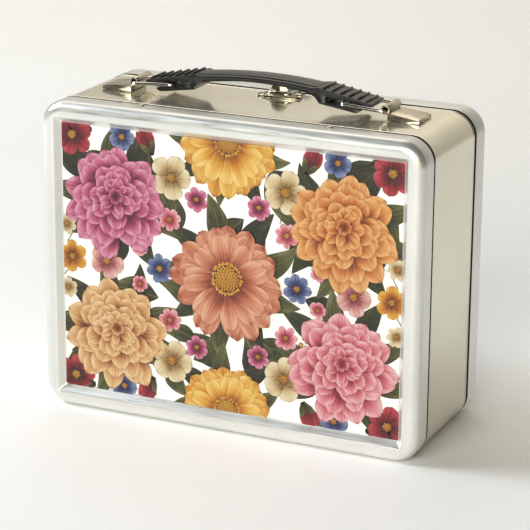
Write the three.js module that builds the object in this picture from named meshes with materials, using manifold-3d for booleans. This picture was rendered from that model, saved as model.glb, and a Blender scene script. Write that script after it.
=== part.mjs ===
// Metal lunch box: a flat upright tin case with a pressed front cover, a wrapped band, a rear lid hinged at
// the bottom seam, a wire-bail draw latch on the top seam and a plastic carrying handle on two wire rings.
// Millimetres, +Z up. X runs along the width, the front cover faces -Y, and the case stands on z = 0 with
// the origin in the middle of its footprint.

import * as THREE from "three";
import { mergeVertices } from "three/addons/utils/BufferGeometryUtils.js";
import Module from "manifold-3d";

const wasm = await Module();
wasm.setup();

// ---------------------------------------------------------------- driving dimensions

// Case
const WIDTH = 220;
const HEIGHT = 172;
const DEPTH = 94.4;
const CORNER_R = 14;
const CORNER_STEPS = 6;
const PANEL_CORNER_R = 1;
const SHEET = 0.5;
const GAP = 0.3;

// Pressed face of the front cover and of the lid, from the outside inwards
const EDGE_R = 5.5;
const RIDGE_IN = 8.4;
const PANEL_IN = 11.6;
const PANEL_DEPTH = 4;
const PRESS_BEND = 0.8;
const HEM_R = 0.55;
const HEM_LENGTH = 1.4;

// Stations along Y
const FACE_Y = -DEPTH / 2;
const FRONT_DEPTH = 15.5;
const FRONT_SEAM = 0.5;
const LID_DEPTH = 17.5;
const LID_SEAM = 2;
const BAND_FRONT_Y = FACE_Y + FRONT_DEPTH + FRONT_SEAM;
const LID_Y = DEPTH / 2 - LID_DEPTH;
const BAND_REAR_Y = LID_Y - LID_SEAM;

// Band: its wall, the beads rolled at its two edges, and the lips that the cover and the lid slip over
const BAND_IN = 0.3;
const BEAD_R = 1;
const LIP_IN = 1.5;
const FRONT_LIP = 6.8;
const REAR_LIP = 4.8;
const BAND_TOP = HEIGHT - BAND_IN;

// Hinges in the bottom rear seam
const HINGE_X = 62;
const HINGE_Y = (LID_Y + BAND_REAR_Y) / 2;
const HINGE_Z = 1.1;
const HINGE_HALF = 12;
const KNUCKLE_R = 1;
const KNUCKLE_HOLE_R = 0.6;
const HINGE_PIN_R = 0.45;
const MID_KNUCKLE_HALF = 4;
const LEAF_LENGTH = 10.5;
const BODY_PLATE_START = 1.4;
const LID_PLATE_START = 2.4;
const HINGE_PIN_HEAD_R = 0.8;
const HINGE_PIN_HEAD = 0.4;
const WINDOW_HALF = HINGE_HALF + 1.1;
const WINDOW_TOP = HINGE_Z + 2.5;
const BAND_WINDOW_Y = [HINGE_Y - 3.5, LID_Y + 5];
const LID_WINDOW_Y = [LID_Y - 1, LID_Y + 1.9];

// Rivets
const RIVET_HOLE_R = 1;
const SHANK_R = 0.65;
const TAIL_R = 1.3;
const TAIL = 0.4;
const COVER_RIVET_X = 54;
const COVER_RIVET_Y = FACE_Y + 11.4;
const COVER_HEAD_R = 1.7;
const COVER_HEAD = 0.7;
const FLUSH_HEAD = 0.3;
const FLUSH_SET = 0.1;

// Handle rings and their brackets
const RING_X = 73;
const RING_Z = HEIGHT + 4.9;
const RING_LENGTH = 24;
const RING_TILT = THREE.MathUtils.degToRad(3.6);
const RING_HALF = 10.2;
const RING_WIRE_R = 1;
const RING_BEND = 1.9;
const TUBE_R = 2.4;
const TUBE_HOLE_R = 1.8;
const TUBE_Z = RING_Z + 0.5;
const TUBE_HALF = 8.7;
const BRACKET_INNER_X = 74.6;
const BRACKET_OUTER_X = 92;
const BRACKET_HALF = 9;
const BRACKET_SHEET = 0.8;
const BRACKET_LOW_Z = HEIGHT + 1.6;
const TAB_X = 85;
const TAB_HALF = 2.5;
const TAB_FOLD = 5;

// Handle grip
const GRIP_HALF = 8.8;
const GRIP_TOP = HEIGHT + 15.8;
const ARCH_X = 36;
const ARCH_END_Z = HEIGHT + 13.5;
const BELLY_END_Z = HEIGHT + 9.2;
const BELLY_TOP_Z = HEIGHT + 12.3;
const SHOULDER = 13.3;
const JAW_END_X = 65.5;
const JAW_END = 7.5;
const SLOT_IN_X = 39.5;
const SLOT_OUT_X = 55.4;
const WEB_HALF = 6.3;
const WEB_LENGTH = 2.6;
const WEB_Z = [HEIGHT + 3.4, HEIGHT + 7.4];
const RIB_COUNT = 6;
const RIB_START = 1.6;
const RIB_PITCH = 4.8;
const RIB_WIDTH = 1.3;
const RIB_HEIGHT = 0.9;
const RIB_IN = 0.8;

// Latch: hook on the band, base on the lid, lever and bail
const LATCH_X = 2.5;
const HOOK_Y = 15.8;
const HOOK_HALF = 4.7;
const HOOK_HEIGHT = 7.2;
const HOOK_SHEET = 1.2;
const HOOK_LEAN = 0.7;
const HOOK_ROUND = 3.4;
const HOOK_PLATE = 0.9;
const HOOK_PLATE_HALF = 12.6;
const HOOK_PLATE_Y = [HOOK_Y - 4.6, HOOK_Y + 5];
const HOOK_PLATE_ROUND = 4.7;
const HOOK_RIVET_X = 9.4;
const HOOK_RIVET_Y = HOOK_Y + 2.2;
const BASE_FRONT_Y = 32.6;
const BASE_REAR_Y = 41.4;
const BASE_HALF = 6;
const BASE_RIVET_X = 2.6;
const BASE_RIVET_Y = BASE_REAR_Y - 2.2;
const EAR_SHEET = 0.8;
const EAR_R = 1.5;
const EAR_FOOT_HALF = 1.9;
const LEVER_PIN_Y = 36.2;
const LEVER_PIN_Z = HEIGHT + 2.4;
const LEVER_PIN_R = 0.8;
const LEVER_PIN_HOLE_R = 1;
const LEVER_PIN_HEAD_R = 1.3;
const LEVER_PIN_HEAD = 0.5;
const BAIL_PIVOT_Y = LEVER_PIN_Y + 4.2;
const BAIL_PIVOT_Z = LEVER_PIN_Z - 0.4;
const BAIL_WIRE_R = 0.9;
const BAIL_HOLE_R = BAIL_WIRE_R + 0.2;
const BAIL_BEND = 1.8;
const BAIL_HALF = 9.9;
const BAIL_FRONT_HALF = 6.2;
const BAIL_FRONT_Y = HOOK_Y - 1.8;
const BAIL_FRONT_Z = HEIGHT + 2.1;
const LEVER_HALF = 7.2;
const LEVER_SHEET = 0.8;
const LEVER_TOP = LEVER_PIN_Z + 2.55;
const LEVER_TIP_Y = DEPTH / 2 - 0.6;
const LEVER_BEND_Y = LEVER_TIP_Y - 3.4;
const LEVER_TIP_DROP = 0.7;

// ---------------------------------------------------------------- solids

// A closed three.js geometry as a manifold solid.
function solid(geometry) {
  const bare = geometry.clone();
  bare.deleteAttribute("normal");
  bare.deleteAttribute("uv");
  const merged = mergeVertices(bare, 1e-4);
  const vertProperties = new Float32Array(merged.attributes.position.array);
  const triVerts = new Uint32Array(merged.index.array);
  return new wasm.Manifold(new wasm.Mesh({ numProp: 3, vertProperties, triVerts }));
}

// A manifold solid as a three.js geometry with flat facets.
function geometryOf(made) {
  const mesh = made.getMesh();
  const geometry = new THREE.BufferGeometry();
  geometry.setAttribute("position", new THREE.BufferAttribute(mesh.vertProperties, 3));
  geometry.setIndex(new THREE.BufferAttribute(mesh.triVerts, 1));
  const flat = geometry.toNonIndexed();
  flat.computeVertexNormals();
  return flat;
}

function join(...geometries) {
  return geometryOf(geometries.map(solid).reduce((sum, piece) => sum.add(piece)));
}

function cut(geometry, ...tools) {
  return geometryOf(tools.map(solid).reduce((rest, tool) => rest.subtract(tool), solid(geometry)));
}

function common(one, other) {
  return geometryOf(solid(one).intersect(solid(other)));
}

// ---------------------------------------------------------------- basic forms

function block(x0, x1, y0, y1, z0, z1) {
  const geometry = new THREE.BoxGeometry(x1 - x0, y1 - y0, z1 - z0);
  return geometry.translate((x0 + x1) / 2, (y0 + y1) / 2, (z0 + z1) / 2);
}

// A flat shape made into a plate.
function plateOf(shape, depth, curveSegments) {
  return new THREE.ExtrudeGeometry(shape, { depth, curveSegments, bevelEnabled: false });
}

// A shape drawn in X and Z, extruded along Y from y0 to y1.
function alongY(shape, y0, y1) {
  return plateOf(shape, y1 - y0, 12).rotateX(Math.PI / 2).translate(0, y1, 0);
}

// A shape drawn in Y and Z, extruded along X from x0 to x1.
function alongX(shape, x0, x1) {
  const geometry = plateOf(shape, x1 - x0, 5);
  const axes = [new THREE.Vector3(0, 1, 0), new THREE.Vector3(0, 0, 1), new THREE.Vector3(1, 0, 0)];
  geometry.applyMatrix4(new THREE.Matrix4().makeBasis(...axes));
  return geometry.translate(x0, 0, 0);
}

// A shape drawn in X and Y, extruded along Z from z0 to z1.
function alongZ(shape, z0, z1) {
  return plateOf(shape, z1 - z0, 6).translate(0, 0, z0);
}

function circle(x, y, r) {
  return new THREE.Shape().absarc(x, y, r, 0, 2 * Math.PI);
}

function polygon(points) {
  return new THREE.Shape(points.map(([x, y]) => new THREE.Vector2(x, y)));
}

// A polygon whose corners are softened: each point is x, y and how far from the corner its curve starts.
function softPolygon(points) {
  const shape = new THREE.Shape();
  points.forEach(([x, y, soft = 0], i) => {
    const corner = new THREE.Vector2(x, y);
    const towards = ([toX, toY]) => new THREE.Vector2(toX, toY).sub(corner).setLength(soft).add(corner);
    const before = towards(points.at(i - 1));
    const after = towards(points[(i + 1) % points.length]);
    if (i === 0) {
      shape.moveTo(before.x, before.y);
    } else {
      shape.lineTo(before.x, before.y);
    }
    if (soft > 0) {
      shape.quadraticCurveTo(corner.x, corner.y, after.x, after.y);
    }
  });
  return shape;
}

// A solid turned about Y, from a profile of [radius, station] pairs that starts and ends on the axis.
function turned(profile, sides) {
  const points = profile.map(([r, at]) => new THREE.Vector2(r, at));
  return new THREE.LatheGeometry(points, sides);
}

// A round wire bent through corner points, with a curve that starts `bend` from each corner.
function wire(corners, radius, bend, steps = 64, sides = 8) {
  const points = corners.map((c) => new THREE.Vector3(...c));
  const path = new THREE.CurvePath();
  let from = points[0];
  for (let i = 1; i < points.length - 1; i += 1) {
    const before = points[i - 1].clone().sub(points[i]).setLength(bend).add(points[i]);
    const after = points[i + 1].clone().sub(points[i]).setLength(bend).add(points[i]);
    path.add(new THREE.LineCurve3(from, before));
    path.add(new THREE.QuadraticBezierCurve3(before, points[i], after));
    from = after;
  }
  path.add(new THREE.LineCurve3(from, points.at(-1)));
  const section = new THREE.Shape();
  for (let k = 0; k < sides; k += 1) {
    const angle = (2 * Math.PI * k) / sides;
    const move = k === 0 ? "moveTo" : "lineTo";
    section[move](radius * Math.cos(angle), radius * Math.sin(angle));
  }
  return new THREE.ExtrudeGeometry(section, { steps, extrudePath: path });
}

// The case's corner radius `inset` inside its outer surface: round at the edge, almost square from the
// ridge inwards.
function cornerRadius(inset) {
  const share = THREE.MathUtils.clamp((inset - EDGE_R) / (RIDGE_IN - EDGE_R), 0, 1);
  return THREE.MathUtils.lerp(CORNER_R - Math.min(inset, EDGE_R), PANEL_CORNER_R, share);
}

// The corner points of the case's outline, drawn `inset` inside its outer surface, as [x, z] pairs.
function caseRing(inset) {
  const r = cornerRadius(inset);
  const midX = WIDTH / 2 - inset - r;
  const midZ = HEIGHT / 2 - inset - r;
  const ring = [];
  for (let quadrant = 0; quadrant < 4; quadrant += 1) {
    const signX = quadrant === 0 || quadrant === 3 ? 1 : -1;
    const signZ = quadrant < 2 ? 1 : -1;
    for (let i = 0; i <= CORNER_STEPS; i += 1) {
      const angle = ((quadrant + i / CORNER_STEPS) * Math.PI) / 2;
      ring.push([signX * midX + r * Math.cos(angle), HEIGHT / 2 + signZ * midZ + r * Math.sin(angle)]);
    }
  }
  return ring;
}

// A sheet that runs round the case: an outline of inset (x) and station along Y (y), carried round the
// rounded rectangle. A closed outline makes a hoop; an open one is capped flat at its two ends.
function hoop(outline, closed) {
  const rings = outline.map((p) => caseRing(p.x).map(([x, z]) => [x, p.y, z]));
  const n = rings[0].length;
  const position = rings.flat(2);
  const index = [];
  const last = closed ? rings.length : rings.length - 1;
  for (let j = 0; j < last; j += 1) {
    const next = ((j + 1) % rings.length) * n;
    for (let i = 0; i < n; i += 1) {
      const side = (i + 1) % n;
      index.push(j * n + i, next + side, j * n + side);
      index.push(j * n + i, next + i, next + side);
    }
  }
  if (!closed) {
    const centres = [outline[0], outline.at(-1)];
    centres.forEach((p) => position.push(0, p.y, HEIGHT / 2));
    const first = rings.length * n;
    const end = (rings.length - 1) * n;
    for (let i = 0; i < n; i += 1) {
      const side = (i + 1) % n;
      index.push(first, i, side);
      index.push(first + 1, end + side, end + i);
    }
  }
  const geometry = new THREE.BufferGeometry();
  geometry.setAttribute("position", new THREE.Float32BufferAttribute(position, 3));
  geometry.setIndex(index);
  return geometry;
}

// A path's points, without the doubled ones where a line runs into an arc.
function pointsOf(path) {
  return path.getPoints(3).filter((p, i, all) => i === 0 || p.distanceTo(all[i - 1]) > 1e-6);
}

// The same line moved sideways by `distance`, with mitred corners.
function offsetLine(points, distance) {
  return points.map((p, i) => {
    const before = points[Math.max(i - 1, 0)];
    const after = points[Math.min(i + 1, points.length - 1)];
    const a = i > 0 ? p.clone().sub(before).normalize() : after.clone().sub(p).normalize();
    const b = i < points.length - 1 ? after.clone().sub(p).normalize() : a;
    const normal = new THREE.Vector2(-(a.y + b.y), a.x + b.x).normalize();
    const mitre = normal.x * -a.y + normal.y * a.x;
    return p.clone().addScaledVector(normal, distance / mitre);
  });
}

// ---------------------------------------------------------------- case

// The pressed cover as a tray that opens towards +Y: sunken panel, slope, ridge, rounded edge, side wall
// and a hem folded inwards at the rim.
function pressedCover(depth) {
  const slope = new THREE.Vector2(PANEL_IN - RIDGE_IN, PANEL_DEPTH).setLength(PRESS_BEND);
  const hemEnd = depth - HEM_LENGTH;
  const face = new THREE.Path();
  face.moveTo(PANEL_IN + 2 * PRESS_BEND, PANEL_DEPTH);
  face.lineTo(PANEL_IN + PRESS_BEND, PANEL_DEPTH);
  face.quadraticCurveTo(PANEL_IN, PANEL_DEPTH, PANEL_IN - slope.x, PANEL_DEPTH - slope.y);
  face.lineTo(RIDGE_IN + slope.x, slope.y);
  face.quadraticCurveTo(RIDGE_IN, 0, RIDGE_IN - PRESS_BEND, 0);
  face.lineTo(EDGE_R, 0);
  face.absarc(EDGE_R, EDGE_R, EDGE_R, 1.5 * Math.PI, Math.PI, true);
  face.lineTo(0, depth - HEM_R);
  const outside = pointsOf(face);
  const inside = offsetLine(outside, -SHEET).slice(0, -1);
  const rim = new THREE.Path();
  rim.absarc(HEM_R, depth - HEM_R, HEM_R, Math.PI, 0, true);
  rim.lineTo(2 * HEM_R, hemEnd);
  rim.lineTo(SHEET, hemEnd - HEM_R);
  const outline = [...outside, ...pointsOf(rim).slice(1), ...inside.reverse()];
  return hoop(outline, false).translate(0, FACE_Y, 0);
}

// The band's section: front lip, bead, wall, bead and rear lip.
function bandSection() {
  const frontBead = BAND_FRONT_Y + BEAD_R;
  const rearBead = BAND_REAR_Y - BEAD_R;
  const lipAngle = Math.asin((LIP_IN - BEAD_R) / BEAD_R);
  const outAngle = Math.acos((BEAD_R - BAND_IN) / BEAD_R);
  const inAngle = Math.acos((BEAD_R - BAND_IN - SHEET) / BEAD_R);
  const lipBack = LIP_IN + SHEET;
  const section = new THREE.Path();
  section.moveTo(LIP_IN, BAND_FRONT_Y - FRONT_LIP);
  section.absarc(BEAD_R, frontBead, BEAD_R, 1.5 * Math.PI + lipAngle, Math.PI - outAngle, true);
  section.absarc(BEAD_R, rearBead, BEAD_R, Math.PI + outAngle, Math.PI / 2 - lipAngle, true);
  section.lineTo(LIP_IN, BAND_REAR_Y + REAR_LIP);
  section.lineTo(lipBack, BAND_REAR_Y + REAR_LIP);
  section.absarc(BEAD_R, rearBead, BEAD_R, 0, -Math.PI + inAngle, true);
  section.absarc(BEAD_R, frontBead, BEAD_R, Math.PI - inAngle, 0, true);
  section.lineTo(lipBack, BAND_FRONT_Y - FRONT_LIP);
  return pointsOf(section);
}

// Room for a hinge at the band's edge or the lid's rim.
function hingeWindow(x, [y0, y1]) {
  return block(x - WINDOW_HALF, x + WINDOW_HALF, y0, y1, -1, WINDOW_TOP);
}

// A hole along Z through a sheet near height z.
function drill(x, y, z, r = RIVET_HOLE_R, reach = 4) {
  return alongZ(circle(x, y, r), z - reach, z + reach);
}

// The same piece made for the left side (-1) and the right side (1).
function eachSide(make) {
  return [-1, 1].flatMap((side) => make(side));
}

// A block whose ends along X or Y are given in either order.
function blockBetween(xs, ys, zs) {
  const [x0, x1, y0, y1] = [Math.min(...xs), Math.max(...xs), Math.min(...ys), Math.max(...ys)];
  return block(x0, x1, y0, y1, ...zs);
}

function frontCover() {
  const holes = eachSide((side) => [
    drill(side * COVER_RIVET_X, COVER_RIVET_Y, HEIGHT),
    drill(side * COVER_RIVET_X, COVER_RIVET_Y, 0, COVER_HEAD_R + GAP),
  ]);
  return cut(pressedCover(FRONT_DEPTH), ...holes);
}

function bodyBand() {
  const tools = eachSide((side) => [
    drill(side * COVER_RIVET_X, COVER_RIVET_Y, HEIGHT),
    drill(side * COVER_RIVET_X, COVER_RIVET_Y, 0),
    drill(LATCH_X + side * HOOK_RIVET_X, HOOK_RIVET_Y, HEIGHT),
    hingeWindow(side * HINGE_X, BAND_WINDOW_Y),
    ...eachSide((edge) => tabSlot(side * TAB_X, edge * (BRACKET_HALF - BRACKET_SHEET / 2))),
  ]);
  return cut(hoop(bandSection(), true), ...tools);
}

// The slot in the band's top that a bracket's tab passes through.
function tabSlot(x, y) {
  const halfX = TAB_HALF + GAP;
  const halfY = BRACKET_SHEET / 2 + GAP;
  return block(x - halfX, x + halfX, y - halfY, y + halfY, HEIGHT - 4, HEIGHT + 4);
}

function rearLid() {
  const tools = eachSide((side) => [
    hingeWindow(side * HINGE_X, LID_WINDOW_Y),
    drill(LATCH_X + side * BASE_RIVET_X, BASE_RIVET_Y, HEIGHT),
  ]);
  return cut(pressedCover(LID_DEPTH).rotateZ(Math.PI), ...tools);
}

// ---------------------------------------------------------------- fasteners and pins

// A rivet along Z: domed head on top, shank, and a flattened tail. Its origin is under the head.
function rivet(headR, head, grip) {
  const profile = [
    [0, -grip - TAIL],
    [TAIL_R, -grip - TAIL],
    [TAIL_R, -grip],
    [SHANK_R, -grip],
    [SHANK_R, 0],
    [headR, 0],
    [headR * 0.92, head * 0.45],
    [headR * 0.6, head * 0.85],
    [0, head],
  ];
  return turned(profile, 14).rotateX(Math.PI / 2);
}

// The lower cover rivet sits upside down, with a thin flat head flush in the cover's bottom.
function flushRivet() {
  const inside = LIP_IN + SHEET + GAP;
  const profile = [
    [0, FLUSH_SET],
    [COVER_HEAD_R, FLUSH_SET],
    [COVER_HEAD_R, FLUSH_SET + FLUSH_HEAD],
    [SHANK_R, FLUSH_SET + FLUSH_HEAD],
    [SHANK_R, inside],
    [TAIL_R, inside],
    [TAIL_R, inside + TAIL],
    [0, inside + TAIL],
  ];
  return turned(profile, 14).rotateX(Math.PI / 2);
}

// A headed pin along X, centred on the origin.
function headedPin(half, r, headR, head) {
  const profile = [
    [0, -half - head],
    [headR, -half - head],
    [headR, -half],
    [r, -half],
    [r, half],
    [headR, half],
    [headR, half + head],
    [0, half + head],
  ];
  return turned(profile, 16).rotateZ(-Math.PI / 2);
}

// ---------------------------------------------------------------- hinge leaves

// One leaf's section in Y and Z: the flat leaf on top of the knuckle, and the knuckle with its pin hole.
function leafSection(reach) {
  const low = KNUCKLE_R - SHEET;
  const startY = Math.sign(reach) * Math.sqrt(KNUCKLE_R ** 2 - low ** 2);
  const shape = new THREE.Shape();
  shape.moveTo(reach, KNUCKLE_R);
  shape.lineTo(reach, low);
  shape.lineTo(startY, low);
  shape.absarc(0, 0, KNUCKLE_R, Math.atan2(low, startY), Math.PI / 2, reach > 0);
  shape.closePath();
  shape.holes.push(new THREE.Path().absarc(0, 0, KNUCKLE_HOLE_R, 0, 2 * Math.PI));
  return shape;
}

// A leaf that reaches along Y from its knuckles. Its plate closes the gaps between them from plateStart on.
function hingeLeaf(reach, knuckles, plateStart) {
  const ends = [Math.sign(reach) * plateStart, reach];
  const plate = blockBetween([-HINGE_HALF, HINGE_HALF], ends, [KNUCKLE_R - SHEET, KNUCKLE_R]);
  return join(plate, ...knuckles.map(([x0, x1]) => alongX(leafSection(reach), x0, x1)));
}

// ---------------------------------------------------------------- handle

// The right-hand bracket: a stamped wedge, hollow underneath, whose inner edge is curled into a tube for
// the ring, held by two tabs that pass through slots in the band and are bent over inside.
function handleBracket() {
  const t = BRACKET_SHEET;
  const high = TUBE_Z - TUBE_R + t;
  const outer = softPolygon([
    [BRACKET_INNER_X, HEIGHT],
    [BRACKET_OUTER_X, HEIGHT],
    [BRACKET_OUTER_X, BRACKET_LOW_Z, 0.6],
    [BRACKET_INNER_X, high],
  ]);
  const inner = polygon([
    [BRACKET_INNER_X + t, HEIGHT - 1],
    [BRACKET_OUTER_X - t, HEIGHT - 1],
    [BRACKET_OUTER_X - t, BRACKET_LOW_Z - t],
    [BRACKET_INNER_X + t, high - t],
  ]);
  const hollow = alongY(inner, t - BRACKET_HALF, BRACKET_HALF - t);
  const shell = cut(alongY(outer, -BRACKET_HALF, BRACKET_HALF), hollow);
  const curl = alongY(circle(RING_X, TUBE_Z, TUBE_R), -TUBE_HALF, TUBE_HALF);
  const neck = block(RING_X, BRACKET_INNER_X + 1, -TUBE_HALF, TUBE_HALF, TUBE_Z - TUBE_R, high - 0.1);
  const hole = alongY(circle(RING_X, TUBE_Z, TUBE_HOLE_R), -20, 20);
  const under = BAND_TOP - SHEET - GAP;
  const tabX = [TAB_X - TAB_HALF, TAB_X + TAB_HALF];
  const tabs = eachSide((edge) => [
    blockBetween(tabX, [edge * BRACKET_HALF, edge * (BRACKET_HALF - t)], [under - t, HEIGHT + 1]),
    blockBetween(tabX, [edge * BRACKET_HALF, edge * (BRACKET_HALF - TAB_FOLD)], [under - t, under]),
  ]);
  return cut(join(shell, curl, neck, ...tabs), hole);
}

// The right-hand ring: a rectangle of wire whose ends meet inside the bracket's tube.
function handleRing() {
  const innerX = RING_X - RING_LENGTH * Math.cos(RING_TILT);
  const innerZ = RING_Z + RING_LENGTH * Math.sin(RING_TILT);
  const corners = [
    [RING_X, GAP / 2, RING_Z],
    [RING_X, RING_HALF, RING_Z],
    [innerX, RING_HALF, innerZ],
    [innerX, -RING_HALF, innerZ],
    [RING_X, -RING_HALF, RING_Z],
    [RING_X, -GAP / 2, RING_Z],
  ];
  return wire(corners, RING_WIRE_R, RING_BEND);
}

// The grip's side view: a shallow arch between two jaws, each with a slot for the ring's inner bar.
function gripOutline() {
  const foot = HEIGHT;
  const half = [
    [ARCH_X, foot + SHOULDER, 1],
    [JAW_END_X, foot + JAW_END, 0.7],
    [JAW_END_X, foot + 5.4, 0.4],
    [SLOT_OUT_X + 2.4, foot + 5.8, 0.4],
    [SLOT_OUT_X, foot + JAW_END],
    [SLOT_IN_X, foot + 8.7, 0.5],
    [SLOT_IN_X, foot + 5.75, 0.5],
    [SLOT_OUT_X, foot + 4.6],
    [SLOT_OUT_X + 4.3, foot + 3.6, 0.3],
    [SLOT_OUT_X + 1.8, foot + 1.8, 0.5],
    [ARCH_X, foot + 4.9, 0.5],
    [ARCH_X - 3, foot + 8.6, 0.9],
  ];
  const crown = new THREE.Path();
  crown.moveTo(1 - ARCH_X, ARCH_END_Z);
  crown.quadraticCurveTo(0, 2 * GRIP_TOP - ARCH_END_Z, ARCH_X - 1, ARCH_END_Z);
  const belly = new THREE.Path();
  belly.moveTo(ARCH_X - 4, BELLY_END_Z);
  belly.quadraticCurveTo(0, 2 * BELLY_TOP_Z - BELLY_END_Z, 4 - ARCH_X, BELLY_END_Z);
  const right = softPolygon([[0, ARCH_END_Z], ...half, [0, BELLY_END_Z]]).getPoints(2).slice(1, -1);
  const left = right.map((p) => new THREE.Vector2(-p.x, p.y)).reverse();
  return new THREE.Shape([...crown.getPoints(12), ...right, ...belly.getPoints(12), ...left]);
}

// The grip: arch and jaws, a narrow web that closes each slot's outer end, and ribs across the jaws' tops.
function handleGrip() {
  const body = alongY(gripOutline(), -GRIP_HALF, GRIP_HALF);
  const fall = (SHOULDER - JAW_END) / (JAW_END_X - ARCH_X);
  const ribHalf = GRIP_HALF - RIB_IN;
  const extras = eachSide((side) => {
    const webX = [side * SLOT_OUT_X, side * (SLOT_OUT_X + WEB_LENGTH)];
    const ribs = Array.from({ length: RIB_COUNT }, (_, i) => {
      const out = RIB_START + i * RIB_PITCH;
      const top = HEIGHT + SHOULDER - fall * out + RIB_HEIGHT;
      const ribX = [side * (ARCH_X + out), side * (ARCH_X + out + RIB_WIDTH)];
      return blockBetween(ribX, [-ribHalf, ribHalf], [top - 2, top]);
    });
    return [blockBetween(webX, [-WEB_HALF, WEB_HALF], WEB_Z), ...ribs];
  });
  return join(body, ...extras);
}

// ---------------------------------------------------------------- latch

// A bore along X through everything near the latch.
function latchBore(y, z, r) {
  return alongX(circle(y, z, r), LATCH_X - 20, LATCH_X + 20);
}

// Two copies of a side plate drawn in Y and Z, whose outer faces are `half` from the latch's middle.
function sidePlates(shape, half, sheet) {
  return eachSide((side) => {
    const ends = [LATCH_X + side * half, LATCH_X + side * (half - sheet)];
    return alongX(shape, Math.min(...ends), Math.max(...ends));
  });
}

// The hook: an oblong plate on the band with an upright round-topped tongue that leans towards the front.
function latchHook() {
  const foot = BAND_TOP + GAP;
  const top = foot + HOOK_HEIGHT;
  const plateCorners = [
    [LATCH_X - HOOK_PLATE_HALF, HOOK_PLATE_Y[0]],
    [LATCH_X + HOOK_PLATE_HALF, HOOK_PLATE_Y[0]],
    [LATCH_X + HOOK_PLATE_HALF, HOOK_PLATE_Y[1]],
    [LATCH_X - HOOK_PLATE_HALF, HOOK_PLATE_Y[1]],
  ];
  const plateShape = softPolygon(plateCorners.map((corner) => [...corner, HOOK_PLATE_ROUND]));
  const plate = alongZ(plateShape, foot, foot + HOOK_PLATE);
  const rivets = eachSide((side) => drill(LATCH_X + side * HOOK_RIVET_X, HOOK_RIVET_Y, HEIGHT));
  const side = polygon([
    [HOOK_Y, foot + 0.1],
    [HOOK_Y + HOOK_SHEET + 0.4, foot + 0.1],
    [HOOK_Y + HOOK_SHEET - HOOK_LEAN, top],
    [HOOK_Y - HOOK_LEAN, top],
  ]);
  const front = new THREE.Shape();
  front.moveTo(LATCH_X - HOOK_HALF, foot);
  front.lineTo(LATCH_X + HOOK_HALF, foot);
  front.lineTo(LATCH_X + HOOK_HALF, top - HOOK_ROUND);
  front.absellipse(LATCH_X, top - HOOK_ROUND, HOOK_HALF, HOOK_ROUND, 0, Math.PI, false);
  front.closePath();
  const tongue = common(alongX(side, LATCH_X - 6, LATCH_X + 6), alongY(front, HOOK_Y - 4, HOOK_Y + 4));
  return cut(join(plate, tongue), ...rivets);
}

// The base on the lid: a riveted plate with two ears that hold the lever's pin.
function latchBase() {
  const foot = HEIGHT + GAP;
  const [left, right] = [LATCH_X - BASE_HALF, LATCH_X + BASE_HALF];
  const plate = block(left, right, BASE_FRONT_Y, BASE_REAR_Y, foot, foot + EAR_SHEET);
  const ear = new THREE.Shape();
  ear.moveTo(LEVER_PIN_Y - EAR_FOOT_HALF, foot);
  ear.lineTo(LEVER_PIN_Y + EAR_FOOT_HALF, foot);
  ear.lineTo(LEVER_PIN_Y + EAR_R, LEVER_PIN_Z);
  ear.absarc(LEVER_PIN_Y, LEVER_PIN_Z, EAR_R, 0, Math.PI);
  ear.closePath();
  const ears = sidePlates(ear, BASE_HALF, EAR_SHEET);
  const rivets = eachSide((side) => drill(LATCH_X + side * BASE_RIVET_X, BASE_RIVET_Y, HEIGHT));
  return cut(join(plate, ...ears), latchBore(LEVER_PIN_Y, LEVER_PIN_Z, LEVER_PIN_HOLE_R), ...rivets);
}

// The lever: a top plate with a turned-down finger tip, and two flanges that carry the pin and the bail.
function latchLever() {
  const flange = softPolygon([
    [LEVER_PIN_Y - 1.8, LEVER_PIN_Z - 1.8, 1.5],
    [BAIL_PIVOT_Y + 1.7, BAIL_PIVOT_Z - 1.5, 1.2],
    [BAIL_PIVOT_Y + 1.7, LEVER_TOP - 0.1],
    [LEVER_PIN_Y, LEVER_TOP - 0.1],
    [LEVER_PIN_Y - 1.8, LEVER_PIN_Z + 1, 0.8],
  ]);
  const under = LEVER_TOP - LEVER_SHEET;
  const plate = polygon([
    [LEVER_PIN_Y, under],
    [LEVER_BEND_Y, under],
    [LEVER_TIP_Y, under - LEVER_TIP_DROP],
    [LEVER_TIP_Y, LEVER_TOP - LEVER_TIP_DROP],
    [LEVER_BEND_Y + 0.2, LEVER_TOP],
    [LEVER_PIN_Y, LEVER_TOP],
  ]);
  const outline = softPolygon([
    [LATCH_X - LEVER_HALF, LEVER_PIN_Y],
    [LATCH_X + LEVER_HALF, LEVER_PIN_Y],
    [LATCH_X + LEVER_HALF, LEVER_TIP_Y, 3],
    [LATCH_X - LEVER_HALF, LEVER_TIP_Y, 3],
  ]);
  const cap = common(alongX(plate, LATCH_X - 9, LATCH_X + 9), alongZ(outline, HEIGHT, HEIGHT + 12));
  const flanges = sidePlates(flange, LEVER_HALF, LEVER_SHEET);
  const pinBore = latchBore(LEVER_PIN_Y, LEVER_PIN_Z, LEVER_PIN_HOLE_R);
  const bailBore = latchBore(BAIL_PIVOT_Y, BAIL_PIVOT_Z, BAIL_HOLE_R);
  return cut(join(cap, ...flanges), pinBore, bailBore);
}

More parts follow.
